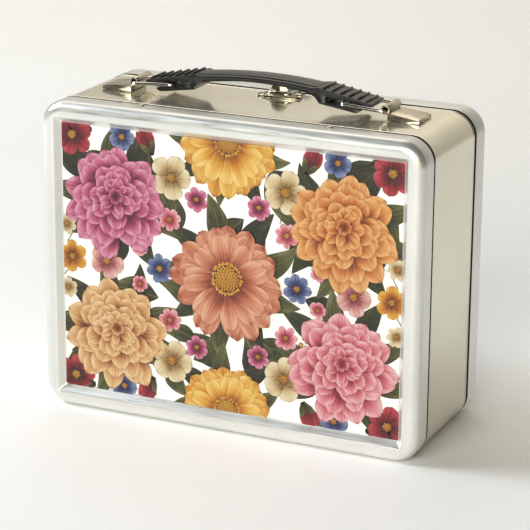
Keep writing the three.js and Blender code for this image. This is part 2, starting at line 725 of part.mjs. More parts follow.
// The bail: one wire from the lever's left flange, round the front of the hook, to the right flange.
function latchBail() {
  const end = LEVER_HALF - LEVER_SHEET - GAP;
  const corners = [
    [LATCH_X - end, BAIL_PIVOT_Y, BAIL_PIVOT_Z],
    [LATCH_X - BAIL_HALF, BAIL_PIVOT_Y, BAIL_PIVOT_Z],
    [LATCH_X - BAIL_FRONT_HALF, BAIL_FRONT_Y, BAIL_FRONT_Z],
    [LATCH_X + BAIL_FRONT_HALF, BAIL_FRONT_Y, BAIL_FRONT_Z],
    [LATCH_X + BAIL_HALF, BAIL_PIVOT_Y, BAIL_PIVOT_Z],
    [LATCH_X + end, BAIL_PIVOT_Y, BAIL_PIVOT_Z],
  ];
  return wire(corners, BAIL_WIRE_R, BAIL_BEND);
}

// ---------------------------------------------------------------- materials

function finish(color, roughness, metalness) {
  return () => new THREE.MeshStandardMaterial({ color, roughness, metalness });
}

const tinplate = finish(0xe6e2d6, 0.28, 0.9);
const bandTin = finish(0xd9d2bd, 0.22, 0.95);
const nickel = finish(0xc9c2ac, 0.3, 1);
const steelWire = finish(0xd2d0c8, 0.2, 1);
const blackPlastic = finish(0x1d1e20, 0.4, 0);

// ---------------------------------------------------------------- assembly

const lunchBox = new THREE.Group();

function add(name, geometry, material, position = [0, 0, 0]) {
  const mesh = new THREE.Mesh(geometry, material);
  mesh.name = name;
  mesh.position.set(...position);
  lunchBox.add(mesh);
  return mesh;
}

function addTurned(name, geometry, material) {
  add(name, geometry, material).rotation.z = Math.PI;
}

add("front_cover", frontCover(), tinplate());
add("body_band", bodyBand(), bandTin());
add("rear_lid", rearLid(), tinplate());

const sides = [["left", -1], ["right", 1]];

const coverGrip = LIP_IN + SHEET + 2 * GAP;
sides.forEach(([name, side]) => {
  const x = side * COVER_RIVET_X;
  const head = rivet(COVER_HEAD_R, COVER_HEAD, coverGrip);
  add(`cover_rivet_top_${name}`, head, nickel(), [x, COVER_RIVET_Y, HEIGHT + GAP]);
  add(`cover_rivet_bottom_${name}`, flushRivet(), nickel(), [x, COVER_RIVET_Y, 0]);
});

const outerKnuckles = [
  [-HINGE_HALF, -MID_KNUCKLE_HALF - GAP],
  [MID_KNUCKLE_HALF + GAP, HINGE_HALF],
];
const midKnuckle = [[-MID_KNUCKLE_HALF, MID_KNUCKLE_HALF]];
sides.forEach(([name, side]) => {
  const at = [side * HINGE_X, HINGE_Y, HINGE_Z];
  const bodyLeaf = hingeLeaf(-LEAF_LENGTH - LID_SEAM, outerKnuckles, BODY_PLATE_START);
  const pin = headedPin(HINGE_HALF + GAP, HINGE_PIN_R, HINGE_PIN_HEAD_R, HINGE_PIN_HEAD);
  add(`hinge_leaf_body_${name}`, bodyLeaf, nickel(), at);
  add(`hinge_leaf_lid_${name}`, hingeLeaf(LEAF_LENGTH, midKnuckle, LID_PLATE_START), nickel(), at);
  add(`hinge_pin_${name}`, pin, steelWire(), at);
});

add("handle_bracket_right", handleBracket(), nickel());
addTurned("handle_bracket_left", handleBracket(), nickel());
add("handle_ring_right", handleRing(), steelWire());
addTurned("handle_ring_left", handleRing(), steelWire());
add("handle_grip", handleGrip(), blackPlastic());

add("latch_hook", latchHook(), nickel());
add("latch_base", latchBase(), nickel());
add("latch_lever", latchLever(), nickel());
add("latch_bail", latchBail(), steelWire());
const leverPin = headedPin(LEVER_HALF + GAP, LEVER_PIN_R, LEVER_PIN_HEAD_R, LEVER_PIN_HEAD);
add("latch_pin", leverPin, steelWire(), [LATCH_X, LEVER_PIN_Y, LEVER_PIN_Z]);

const hookGrip = HOOK_PLATE + SHEET + 3 * GAP;
const baseGrip = EAR_SHEET + SHEET + 3 * GAP;
sides.forEach(([name, side]) => {
  const hookAt = [LATCH_X + side * HOOK_RIVET_X, HOOK_RIVET_Y, BAND_TOP + HOOK_PLATE + 2 * GAP];
  add(`hook_rivet_${name}`, rivet(1.4, 0.6, hookGrip), nickel(), hookAt);
  const baseAt = [LATCH_X + side * BASE_RIVET_X, BASE_RIVET_Y, HEIGHT + EAR_SHEET + 2 * GAP];
  add(`latch_base_rivet_${name}`, rivet(1.3, 0.5, baseGrip), nickel(), baseAt);
});

export default lunchBox;
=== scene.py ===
# The lunch box's looks: smooth pressed tin, moulded grip, bright wire and a flower print, built round the
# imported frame. Metres, +Z up; lengths are written in millimetres and multiplied by MM.
import math
import random

import bmesh
import bpy
from mathutils import Matrix, Vector
from mathutils.geometry import delaunay_2d_cdt


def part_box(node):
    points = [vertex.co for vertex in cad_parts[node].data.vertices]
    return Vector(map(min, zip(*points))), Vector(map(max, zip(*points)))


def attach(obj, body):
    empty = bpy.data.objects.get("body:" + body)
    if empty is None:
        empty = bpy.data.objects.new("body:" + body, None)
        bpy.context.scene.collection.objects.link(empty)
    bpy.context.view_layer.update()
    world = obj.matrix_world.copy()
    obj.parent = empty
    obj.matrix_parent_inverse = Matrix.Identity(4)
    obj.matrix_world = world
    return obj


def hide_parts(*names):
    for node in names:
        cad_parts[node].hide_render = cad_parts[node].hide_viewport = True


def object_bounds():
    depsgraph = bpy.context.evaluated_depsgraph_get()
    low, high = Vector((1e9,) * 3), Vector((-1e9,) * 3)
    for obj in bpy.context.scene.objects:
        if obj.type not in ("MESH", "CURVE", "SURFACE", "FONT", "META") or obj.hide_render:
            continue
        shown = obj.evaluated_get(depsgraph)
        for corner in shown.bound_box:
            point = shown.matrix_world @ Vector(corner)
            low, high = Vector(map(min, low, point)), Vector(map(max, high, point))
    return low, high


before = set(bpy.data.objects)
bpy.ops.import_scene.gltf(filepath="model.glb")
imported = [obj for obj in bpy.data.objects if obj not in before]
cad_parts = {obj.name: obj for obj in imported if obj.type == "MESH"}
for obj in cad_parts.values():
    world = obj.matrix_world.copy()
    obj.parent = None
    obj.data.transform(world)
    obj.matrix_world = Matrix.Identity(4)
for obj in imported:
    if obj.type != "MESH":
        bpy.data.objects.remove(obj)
CAD_LO, CAD_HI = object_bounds()

MM = 0.001

# ---------------------------------------------------------------- sizes

COVER_LO, COVER_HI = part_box("front_cover")
LID_LO, LID_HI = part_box("rear_lid")
BAND_LO, BAND_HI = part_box("body_band")
GRIP_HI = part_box("handle_grip")[1]
WIDTH = COVER_HI.x - COVER_LO.x
HEIGHT = COVER_HI.z - COVER_LO.z
FACE_Y = COVER_LO.y

# Case sheet and the pressed face
CORNER_STEPS = 24
CORNER_R = 14 * MM
SHEET = 0.5 * MM
EDGE_R = 5.5 * MM
RIDGE_IN = 8.4 * MM
PANEL_IN = 11.6 * MM
PANEL_DEPTH = 4 * MM
PANEL_CORNER_R = 1 * MM
PRESS_BEND = 0.8 * MM
HEM_R = 0.55 * MM
HEM_LENGTH = 1.4 * MM
BAND_IN = 0.3 * MM
FRONT_GAP = 1.0 * MM
BEAD_R = 1 * MM
LIP_IN = 1.5 * MM
FRONT_LIP = 6.8 * MM
REAR_LIP = 4.8 * MM
BAND_FRONT_Y = BAND_LO.y + FRONT_LIP
BAND_REAR_Y = BAND_HI.y - REAR_LIP

# ---------------------------------------------------------------- camera and studio

AZIMUTH = math.radians(24.61)
ELEVATION = math.radians(17.43)
ROLL = math.radians(0.416)
DISTANCE = 1.1864
LENS = 155.3
TARGET = Vector((0.02348, CAD_LO.y, 0.09792))


def make_camera():
    flat = math.cos(ELEVATION)
    away = Vector((math.sin(AZIMUTH) * flat, -math.cos(AZIMUTH) * flat, math.sin(ELEVATION)))
    level = Vector((math.cos(AZIMUTH), math.sin(AZIMUTH), 0))
    upright = away.cross(level)
    right = math.cos(ROLL) * level + math.sin(ROLL) * upright
    up = away.cross(right)
    data = bpy.data.cameras.new("camera")
    data.lens = LENS
    data.sensor_width = 36
    data.clip_start = 0.05
    camera = bpy.data.objects.new("camera", data)
    rotation = Matrix((right, up, away)).transposed().to_4x4()
    camera.matrix_world = Matrix.Translation(TARGET + away * DISTANCE) @ rotation
    bpy.context.scene.collection.objects.link(camera)
    bpy.context.scene.camera = camera


def area_light(name, place, aim, size, watts, tint):
    data = bpy.data.lights.new(name, "AREA")
    data.shape = "RECTANGLE"
    data.size, data.size_y = size
    data.energy = watts
    data.color = tint
    lamp = bpy.data.objects.new(name, data)
    lamp.location = place
    lamp.rotation_euler = (Vector(place) - Vector(aim)).to_track_quat("Z", "Y").to_euler()
    bpy.context.scene.collection.objects.link(lamp)


def make_lights():
    """Soft boxes: a key at the left, one high up behind, two fills in front and one for the wall."""
    case = (0, 0, 0.08)
    area_light("key", (-1.9, -0.45, 1.5), case, (1.0, 1.0), 47, (0.85, 0.92, 0.97))
    area_light("high", (-1.05, 1.35, 2.1), case, (2.0, 1.3), 13, (1.0, 0.95, 0.86))
    area_light("fill", (0.3, -2.3, 1.2), case, (1.8, 1.2), 51, (0.99, 0.96, 0.87))
    area_light("fill_right", (1.6, -2.0, 0.9), case, (1.2, 1.0), 6, (1.0, 0.82, 0.40))
    area_light("wall", (-0.6, 1.2, 2.6), (-1.2, 3.6, 1.2), (1.6, 0.8), 31, (1.0, 0.85, 0.62))


def make_world():
    """A faint warm tone round everything."""
    world = bpy.data.worlds.new("studio")
    world.use_nodes = True
    bpy.context.scene.world = world
    background = world.node_tree.nodes["Background"]
    background.inputs["Color"].default_value = (0.86, 0.80, 0.66, 1)
    background.inputs["Strength"].default_value = 0.03


def make_floor():
    """A plain pale sweep: floor, a wide curve and a wall behind."""
    half_width, front_y, curve_y, curve_r, wall = 4.0, -3.5, 2.4, 1.2, 2.6
    section = [(front_y, 0.0), (curve_y, 0.0)]
    for a in steps(0, math.pi / 2, 24):
        section.append((curve_y + curve_r * math.sin(a), curve_r - curve_r * math.cos(a)))
    section.append((curve_y + curve_r, wall + curve_r))
    verts = [(x, y, z) for y, z in section for x in (-half_width, half_width)]
    faces = [(2 * i, 2 * i + 1, 2 * i + 3, 2 * i + 2) for i in range(len(section) - 1)]
    floor = new_mesh("studio_floor", verts, faces, [pale_floor()])


# ---------------------------------------------------------------- mesh helpers

WIRE_SIDES = 20
LATHE_SIDES = 32
MOST_CAP_CORNERS = 40


def steps(start, end, count):
    """count + 1 even steps from start to end."""
    return [start + (end - start) * i / count for i in range(count + 1)]


def turns(sides):
    """Angles of equal steps round a circle."""
    return [2 * math.pi * k / sides for k in range(sides)]


def arc(x, y, r, start, end, count):
    return [Vector((x + r * math.cos(a), y + r * math.sin(a))) for a in steps(start, end, count)]


def bend(start, corner, end, count=5):
    """Points on a quadratic curve that rounds a corner."""
    return [start * (1 - t) ** 2 + corner * 2 * t * (1 - t) + end * t ** 2 for t in steps(0, 1, count)]


def soft_line(corners, closed=True):
    """A line through corners given as x, y and how far from the corner its curve starts."""
    line = []
    for i, (x, y, soft) in enumerate(corners):
        corner = Vector((x, y))
        if soft == 0 or (not closed and i in (0, len(corners) - 1)):
            line.append(corner)
            continue
        before = Vector(corners[i - 1][:2]) - corner
        after = Vector(corners[(i + 1) % len(corners)][:2]) - corner
        line += bend(corner + before.normalized() * soft, corner, corner + after.normalized() * soft, 4)
    return line


def offset_line(line, distance, closed=False):
    """The same line moved to its left by distance, with mitred corners."""
    moved = []
    for i, p in enumerate(line):
        before = line[i - 1] if closed or i > 0 else None
        after = line[(i + 1) % len(line)] if closed or i < len(line) - 1 else None
        a = (p - before).normalized() if before is not None else (after - p).normalized()
        b = (after - p).normalized() if after is not None else a
        normal = Vector((-(a.y + b.y), a.x + b.x)).normalized()
        mitre = max(normal.x * -a.y + normal.y * a.x, 0.4)
        moved.append(p + normal * (distance / mitre))
    return moved


def new_mesh(name, verts, faces, materials):
    mesh = bpy.data.meshes.new(name)
    mesh.from_pydata([tuple(v) for v in verts], [], faces)
    mesh.validate()
    obj = bpy.data.objects.new(name, mesh)
    bpy.context.scene.collection.objects.link(obj)
    for material in materials:
        mesh.materials.append(material)
    return obj


def shade(obj, sharp):
    """Smooths every face, and keeps edges sharper than `sharp` degrees."""
    obj.data.polygons.foreach_set("use_smooth", [True] * len(obj.data.polygons))
    obj.data.set_sharp_from_angle(angle=math.radians(sharp))


def outwards(obj):
    """Turns every face of a closed mesh to face out."""
    edit = bmesh.new()
    edit.from_mesh(obj.data)
    bmesh.ops.recalc_face_normals(edit, faces=edit.faces)
    edit.to_mesh(obj.data)
    edit.free()
    return obj


def flat_fill(ring):
    """Triangles that fill a ring lying in a plane of constant Y, as indices into the ring."""
    outline = [Vector((p.x, p.z)) for p in ring]
    _, _, faces, origins, _, _ = delaunay_2d_cdt(outline, [], [list(range(len(ring)))], 1, 1e-9)
    return [tuple(origins[i][0] for i in face) for face in faces]


def loft(name, rings, materials, closed=False, sharp=35):
    """A skin over rings of equal length, closed by joining the last to the first or by a cap on each end.

    A long ring may be hollow in places, so its cap is made of triangles.
    """
    count = len(rings[0])
    verts = [v for ring in rings for v in ring]
    faces = []
    for j in range(len(rings) if closed else len(rings) - 1):
        here, there = j * count, ((j + 1) % len(rings)) * count
        for i in range(count):
            after = (i + 1) % count
            faces.append((here + i, here + after, there + after, there + i))
    if not closed:
        last = (len(rings) - 1) * count
        if count > MOST_CAP_CORNERS:
            faces += [tuple(face) for face in flat_fill(rings[0])]
            faces += [tuple(last + i for i in face) for face in flat_fill(rings[-1])]
        else:
            faces += [tuple(range(count)), tuple(range(last, last + count))]
    obj = outwards(new_mesh(name, verts, faces, materials))
    shade(obj, sharp)
    return obj


def applied(obj):
    """Replaces the object's mesh with what its modifiers make of it."""
    graph = bpy.context.evaluated_depsgraph_get()
    made = bpy.data.meshes.new_from_object(obj.evaluated_get(graph), depsgraph=graph)
    obj.modifiers.clear()
    obj.data = made


def cut_boxes(obj, boxes):
    """Cuts boxes, given as lowest and highest corners, out of a closed mesh."""
    cutters = []
    for lo, hi in boxes:
        cutter = new_mesh("cutter", [], [], [])
        edit = bmesh.new()
        bmesh.ops.create_cube(edit, size=1)
        for vert in edit.verts:
            vert.co = [lo[k] if vert.co[k] < 0 else hi[k] for k in range(3)]
        edit.to_mesh(cutter.data)
        edit.free()
        modifier = obj.modifiers.new("cut", "BOOLEAN")
        modifier.operation = "DIFFERENCE"
        modifier.object = cutter
        cutters.append(cutter)
    applied(obj)
    for cutter in cutters:
        bpy.data.objects.remove(cutter)


def joined(name, objs):
    """One object made of several, with the first one's materials."""
    edit = bmesh.new()
    for obj in objs:
        edit.from_mesh(obj.data)
    mesh = bpy.data.meshes.new(name)
    edit.to_mesh(mesh)
    edit.free()
    for material in objs[0].data.materials:
        mesh.materials.append(material)
    for obj in objs:
        bpy.data.objects.remove(obj)
    piece = bpy.data.objects.new(name, mesh)
    bpy.context.scene.collection.objects.link(piece)
    return piece


def tube(name, points, radius, material):
    """A round wire along a smooth line of points, with flat ends."""
    rings = []
    line = [Vector(p) for p in points]
    tangent = (line[1] - line[0]).normalized()
    across = tangent.orthogonal().normalized()
    for i, p in enumerate(line):
        before = line[max(i - 1, 0)]
        after = line[min(i + 1, len(line) - 1)]
        ahead = (after - before).normalized()
        across = (across - ahead * across.dot(ahead)).normalized()
        side = ahead.cross(across)
        rings.append([p + (across * math.cos(a) + side * math.sin(a)) * radius for a in turns(WIRE_SIDES)])
    return loft(name, rings, [material], sharp=50)


def bent_wire(corners, soft):
    """Points of a wire through corners, rounded from `soft` before each corner to `soft` after it."""
    corners = [Vector(c) for c in corners]
    line = [corners[0]]
    for before, corner, after in zip(corners, corners[1:], corners[2:]):
        start = corner + (before - corner).normalized() * soft
        end = corner + (after - corner).normalized() * soft
        line += bend(start, corner, end, 8)
    return line + [corners[-1]]


def lathe(name, profile, x, y, material):
    """A body of revolution about an upright axis. The profile, radius and height pairs, ends by the axis."""
    rings = []
    for r, z in profile:
        rings.append([Vector((x + r * math.cos(a), y + r * math.sin(a), z)) for a in turns(LATHE_SIDES)])
    return loft(name, rings, [material], sharp=40)


# ---------------------------------------------------------------- materials

ROLLED = (0.06, 1, 1)
STREAK_DEPTH = 0.0015 * MM
STREAK_STRENGTH = 0.12
INK_LINES = 0.50
INK_DEPTH = 0.94
INK_STRENGTH = 0.72


def srgb(r, g, b):
    """A colour given as 0 to 255 screen values, in linear light."""
    shares = (r / 255, g / 255, b / 255)
    return tuple(c / 12.92 if c <= 0.04045 else ((c + 0.055) / 1.055) ** 2.4 for c in shares)


class Surface:
    """A Principled material whose colour, roughness and bump come from noise in the object's own space."""

    def __init__(self, name, metallic, coat=0.0, specular=0.5):
        self.material = bpy.data.materials.new(name)
        self.material.use_nodes = True
        self.tree = self.material.node_tree
        self.shader = self.tree.nodes["Principled BSDF"]
        self.shader.inputs["Metallic"].default_value = metallic
        self.shader.inputs["Coat Weight"].default_value = coat
        self.shader.inputs["Coat Roughness"].default_value = 0.12
        self.shader.inputs["Specular IOR Level"].default_value = specular
        self.place = self.node("ShaderNodeTexCoord").outputs["Object"]

    def node(self, kind, **settings):
        node = self.tree.nodes.new(kind)
        for key, value in settings.items():
            setattr(node, key, value)
        return node

    def link(self, source, target):
        self.tree.links.new(source, target)

    def noise(self, scale, stretch=(1, 1, 1), detail=3.0, vector=None):
        """Noise from 0 to 1, `scale` features a metre, stretched along each axis."""
        mapping = self.node("ShaderNodeMapping")
        mapping.inputs["Scale"].default_value = stretch
        texture = self.node("ShaderNodeTexNoise")
        texture.inputs["Scale"].default_value = scale
        texture.inputs["Detail"].default_value = detail
        self.link(vector or self.place, mapping.inputs["Vector"])
        self.link(mapping.outputs["Vector"], texture.inputs["Vector"])
        return texture.outputs["Fac"]

    def spread(self, value, low, high, start=0.3, end=0.7):
        """Maps start..end of a value onto low..high."""
        node = self.node("ShaderNodeMapRange")
        node.inputs["From Min"].default_value = start
        node.inputs["From Max"].default_value = end
        node.inputs["To Min"].default_value = low
        node.inputs["To Max"].default_value = high
        self.link(value, node.inputs["Value"])
        return node.outputs["Result"]

    def colours(self, value, stops):
        node = self.node("ShaderNodeValToRGB")
        elements = node.color_ramp.elements
        elements[0].position, elements[0].color = stops[0][0], (*stops[0][1], 1)
        elements[1].position, elements[1].color = stops[-1][0], (*stops[-1][1], 1)
        for at, colour in stops[1:-1]:
            elements.new(at).color = (*colour, 1)
        self.link(value, node.inputs["Fac"])
        return node.outputs["Color"]

    def cloudy(self, value, dark, light):
        """A base colour that drifts between two with a noise."""
        self.feed("Base Color", self.colours(value, [(0.3, dark), (0.7, light)]))

    def bump(self, height, distance, strength=1.0):
        node = self.node("ShaderNodeBump")
        node.inputs["Distance"].default_value = distance
        node.inputs["Strength"].default_value = strength
        self.link(height, node.inputs["Height"])
        if self.shader.inputs["Normal"].is_linked:
            self.link(self.shader.inputs["Normal"].links[0].from_socket, node.inputs["Normal"])
        self.link(node.outputs["Normal"], self.shader.inputs["Normal"])

    def feed(self, socket, value):
        self.link(value, self.shader.inputs[socket])


def metal(name, light, dark, roughness, grain, dents=0.02 * MM, metallic=1.0, fade=None):
    """Sheet metal: a rolled grain along X, cloudy tone and roughness, and a faint waviness.

    `fade` paints shade by height: greys at shares of the case's height darken the colour towards the bottom,
    standing for the shadowed floor that the band reflects.
    """
    surface = Surface(name, metallic=metallic)
    colour = surface.colours(surface.noise(28, detail=4), [(0.35, dark), (0.65, light)])
    # Painted shade: the colour is multiplied by greys that darken it towards the bottom.
    if fade:
        split = surface.node("ShaderNodeSeparateXYZ")
        surface.link(surface.place, split.inputs[0])
        share = surface.spread(split.outputs["Z"], 0.0, 1.0, 0.0, HEIGHT)
        shaded_colour = surface.node("ShaderNodeVectorMath", operation="MULTIPLY")
        surface.link(colour, shaded_colour.inputs[0])
        greys = surface.colours(share, [(at, (grey, grey, grey)) for at, grey in fade])
        surface.link(greys, shaded_colour.inputs[1])
        colour = shaded_colour.outputs["Vector"]
    surface.feed("Base Color", colour)
    streak = surface.noise(900, stretch=ROLLED, detail=2)
    surface.feed("Roughness", surface.spread(streak, roughness - grain, roughness + grain))
    surface.bump(streak, STREAK_DEPTH, STREAK_STRENGTH)
    surface.bump(surface.noise(14, detail=1), dents)
    return surface.material


def satin_tin():
    return metal("satin_tin", srgb(236, 236, 234), srgb(227, 228, 226), 0.34, 0.07, metallic=0.78)


def bright_tin():
    # Painted shade: the band's colour darkens towards its bottom, standing for the shadowed floor it
    # reflects.
    fade = [(0.0, 0.64), (0.26, 0.70), (0.52, 0.84), (0.9, 0.90), (0.99, 1.0)]
    return metal("bright_tin", srgb(254, 249, 232), srgb(248, 243, 225), 0.13, 0.04, 0.05 * MM, 0.88, fade)


def painted_seam_shade():
    """Painted shade: a dark, dull tin for the faces down inside a seam, standing for the shadow there."""
    return metal("painted_seam_shade", srgb(52, 48, 42), srgb(30, 28, 25), 0.6, 0.1, metallic=0.5)


def nickel_plate():
    return metal("nickel_plate", srgb(212, 203, 184), srgb(188, 180, 160), 0.22, 0.08)


def steel_wire():
    return metal("steel_wire", srgb(238, 236, 230), srgb(222, 220, 214), 0.14, 0.05)


def black_plastic():
    surface = Surface("black_plastic", metallic=0.0, specular=0.6)
    cloud = surface.noise(60, detail=4)
    surface.cloudy(cloud, srgb(18, 18, 18), srgb(33, 32, 31))
    surface.feed("Roughness", surface.spread(surface.noise(700, stretch=(0.08, 1, 1)), 0.20, 0.38))
    surface.bump(surface.noise(900, stretch=ROLLED, detail=2), 0.012 * MM, 0.6)
    return surface.material


def lacquered(surface, smooth, rough):
    """The print's lacquer: a fine uneven gloss over a faint orange peel."""
    surface.feed("Roughness", surface.spread(surface.noise(300), smooth, rough))
    surface.bump(surface.noise(1400), 0.004 * MM, 0.4)
    return surface.material


def print_ground():
    """The print's white ground: a glossy white with a faint cloudy tone."""
    surface = Surface("print_ground", metallic=0.0, coat=0.25)
    cloud = surface.noise(22, detail=5)
    surface.cloudy(cloud, srgb(245, 243, 238), srgb(252, 251, 249))
    return lacquered(surface, 0.34, 0.46)


def print_ink():
    """Printed petals and leaves: each shape's own ink, deepened in fine lines that run along it."""
    surface = Surface("print_ink", metallic=0.0, coat=0.2)
    ink = surface.node("ShaderNodeAttribute", attribute_name="ink").outputs["Color"]
    stroke = surface.node("ShaderNodeAttribute", attribute_name="stroke").outputs["Vector"]
    fine = surface.noise(1.0, stretch=(0.07, 1.25, 1.0), detail=2.5, vector=stroke)
    line = surface.spread(fine, 0.0, 1.0, 0.36, 0.66)
    wash = surface.spread(surface.noise(160, detail=4), -0.12, 0.16)
    depth = surface.node("ShaderNodeMath", operation="MULTIPLY_ADD")
    depth.inputs[1].default_value = INK_LINES
    depth.inputs[2].default_value = INK_DEPTH
    surface.link(line, depth.inputs[0])
    both = surface.node("ShaderNodeMath", operation="ADD")
    surface.link(depth.outputs[0], both.inputs[0])
    surface.link(wash, both.inputs[1])
    gamma = surface.node("ShaderNodeGamma")
    surface.link(ink, gamma.inputs["Color"])
    surface.link(both.outputs[0], gamma.inputs["Gamma"])
    thin = surface.node("ShaderNodeVectorMath", operation="SCALE")
    surface.link(gamma.outputs["Color"], thin.inputs[0])
    thin.inputs["Scale"].default_value = INK_STRENGTH
    surface.feed("Base Color", thin.outputs["Vector"])
    return lacquered(surface, 0.40, 0.52)


def pale_floor():
    surface = Surface("pale_floor", metallic=0.0, specular=0.25)
    cloud = surface.noise(3, detail=2)
    surface.cloudy(cloud, srgb(247, 247, 247), srgb(250, 250, 250))
    surface.feed("Roughness", surface.spread(surface.noise(40), 0.5, 0.6))
    return surface.material


SATIN_TIN = satin_tin()
BRIGHT_TIN = bright_tin()
SEAM_PAINTED_SHADE = painted_seam_shade()
NICKEL = nickel_plate()
WIRE = steel_wire()
PLASTIC = black_plastic()
GROUND = print_ground()
INK = print_ink()

# ---------------------------------------------------------------- case


def corner_radius(inset):
    """The case's corner radius `inset` inside its outer surface: almost square from the ridge inwards."""
    share = min(max((inset - EDGE_R) / (RIDGE_IN - EDGE_R), 0), 1)
    return (CORNER_R - min(inset, EDGE_R)) * (1 - share) + PANEL_CORNER_R * share


def case_ring(inset, y):
    r = corner_radius(inset)
    ring = []
    for quadrant in range(4):
        side = 1 if quadrant in (0, 3) else -1
        above = 1 if quadrant < 2 else -1
        x = side * (WIDTH / 2 - inset - r)
        z = HEIGHT / 2 + above * (HEIGHT / 2 - inset - r)
        start, end = quadrant * math.pi / 2, (quadrant + 1) * math.pi / 2
        ring += [Vector((p.x, y, p.y)) for p in arc(x, z, r, start, end, CORNER_STEPS)]
    return ring


def cover_section(depth):
    """The pressed cover's section as inset and depth pairs: outside, panel to rim, then back inside."""
    panel = Vector((PANEL_IN, PANEL_DEPTH))
    ridge = Vector((RIDGE_IN, 0))
    slope = (panel - ridge).normalized() * PRESS_BEND
    along = Vector((PRESS_BEND, 0))
    outside = [panel + 2 * along]
    outside += bend(panel + along, panel, panel - slope)
    outside += bend(ridge + slope, ridge, ridge - along)
    outside += arc(EDGE_R, EDGE_R, EDGE_R, 1.5 * math.pi, math.pi, 12)
    outside.append(Vector((0, depth - HEM_R)))
    inside = offset_line(outside, -SHEET)[:-1]
    rim = arc(HEM_R, depth - HEM_R, HEM_R, math.pi, 0, 8)[1:]
    rim.append(Vector((2 * HEM_R, depth - HEM_LENGTH)))
    rim.append(Vector((SHEET, depth - HEM_LENGTH - HEM_R)))
    return outside + rim + inside[::-1]


def pressed_cover(name, depth, back=False):
    section = cover_section(depth)
    rings = [case_ring(p.x, (LID_HI.y - p.y) if back else (FACE_Y + p.y)) for p in section]
    return loft(name, rings, [SATIN_TIN])


def band_section():
    front, rear = BAND_FRONT_Y + BEAD_R, BAND_REAR_Y - BEAD_R
    lip = math.asin((LIP_IN - BEAD_R) / BEAD_R)
    out = math.acos((BEAD_R - BAND_IN) / BEAD_R)
    inner = math.acos((BEAD_R - BAND_IN - SHEET) / BEAD_R)
    back = LIP_IN + SHEET
    line = [Vector((LIP_IN, BAND_LO.y))]
    line += arc(BEAD_R, front, BEAD_R, 1.5 * math.pi + lip, math.pi - out, 10)
    line += arc(BEAD_R, rear, BEAD_R, math.pi + out, math.pi / 2 - lip, 10)
    line += [Vector((LIP_IN, BAND_HI.y)), Vector((back, BAND_HI.y))]
    line += arc(BEAD_R, rear, BEAD_R, 0, inner - math.pi, 8)
    line += arc(BEAD_R, front, BEAD_R, math.pi - inner, 0, 8)
    line.append(Vector((back, BAND_LO.y)))
    return line


# How far the painted seam shade reaches round a rim and a bead, and a margin past a piece's edge
RIM_SHADE = 0.2 * MM
BEAD_SHADE = 0.3 * MM
PAST = 1 * MM


def shaded(obj, y0, y1):
    """Paints shade: every face between y0 and y1 takes the dark seam tin that stands for the shadow down
    inside a seam.
    """
    obj.data.materials.append(SEAM_PAINTED_SHADE)
    for face in obj.data.polygons:
        if y0 < face.center.y < y1:
            face.material_index = len(obj.data.materials) - 1


def hinge_windows(y0, y1):
    """Boxes that clear the two hinges, from y0 to y1."""
    room = 1.1 * MM
    boxes = []
    for side in ("left", "right"):
        lo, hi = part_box("hinge_leaf_body_" + side)
        boxes.append(((lo.x - room, y0, -PAST), (hi.x + room, y1, hi.z + 1.5 * MM)))
    return boxes


def make_case():
    hinge_y = (LID_LO.y + BAND_REAR_Y) / 2
    cover = pressed_cover("cover_front", COVER_HI.y - COVER_LO.y - FRONT_GAP)
    # Painted shade: faces down inside the seams, on the cover, lid and band, take the dark seam tin in place
    # of their shadow.
    shaded(cover, COVER_HI.y - FRONT_GAP - RIM_SHADE, COVER_HI.y)
    carried(cover, "root", "satin_tin", "front_cover")
    lid = pressed_cover("lid_rear", LID_HI.y - LID_LO.y, back=True)
    shaded(lid, LID_LO.y - PAST, LID_LO.y + 2 * RIM_SHADE)
    cut_boxes(lid, hinge_windows(LID_LO.y - PAST, LID_LO.y + 1.9 * MM))
    carried(lid, "lid", "satin_tin", "rear_lid")
    band = loft("band", [case_ring(p.x, p.y) for p in band_section()], [BRIGHT_TIN], closed=True)
    # Painted shade on the band's lips inside both seams.
    shaded(band, BAND_LO.y - PAST, BAND_FRONT_Y + BEAD_SHADE)
    shaded(band, BAND_REAR_Y - BEAD_SHADE, BAND_HI.y + PAST)
    cut_boxes(band, hinge_windows(hinge_y - 3.5 * MM, LID_LO.y + 5 * MM))
    carried(band, "root", "tinplate", "body_band")


def carried(obj, body, slot, *nodes):
    """The piece rides on a body and stands for CAD nodes, which it hides; `slot` is not used."""
    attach(obj, body)
    if nodes:
        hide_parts(*nodes)


# ---------------------------------------------------------------- rivets, pins, wires

SMALL_HEAD_R = 1.6 * MM
SHANK_R = 0.65 * MM
TAIL_R = 1.3 * MM
TAIL_HEIGHT = 0.4 * MM
RING_WIRE_R = 1 * MM
RING_END_GAP = 0.15 * MM
WIRE_BEND = 2.2 * MM


def middle(node):
    lo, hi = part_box(node)
    return (lo + hi) / 2


def make_rivet(node, body):
    """A domed rivet in the place of its CAD node: head, shank and flattened tail."""
    lo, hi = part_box(node)
    head_r = (hi.x - lo.x) / 2
    foot = hi.z - (0.7 if head_r > SMALL_HEAD_R else 0.55) * MM
    dome = [(head_r * math.cos(a), foot + (hi.z - foot) * math.sin(a)) for a in steps(0, 0.48 * math.pi, 7)]
    tail = lo.z + TAIL_HEIGHT
    profile = [(0.02 * MM, lo.z), (TAIL_R, lo.z), (TAIL_R, tail), (SHANK_R, tail), (SHANK_R, foot)] + dome
    at = middle(node)
    rivet = lathe(node + "_smooth", profile, at.x, at.y, NICKEL)
    carried(rivet, body, "nickel_plate", node)


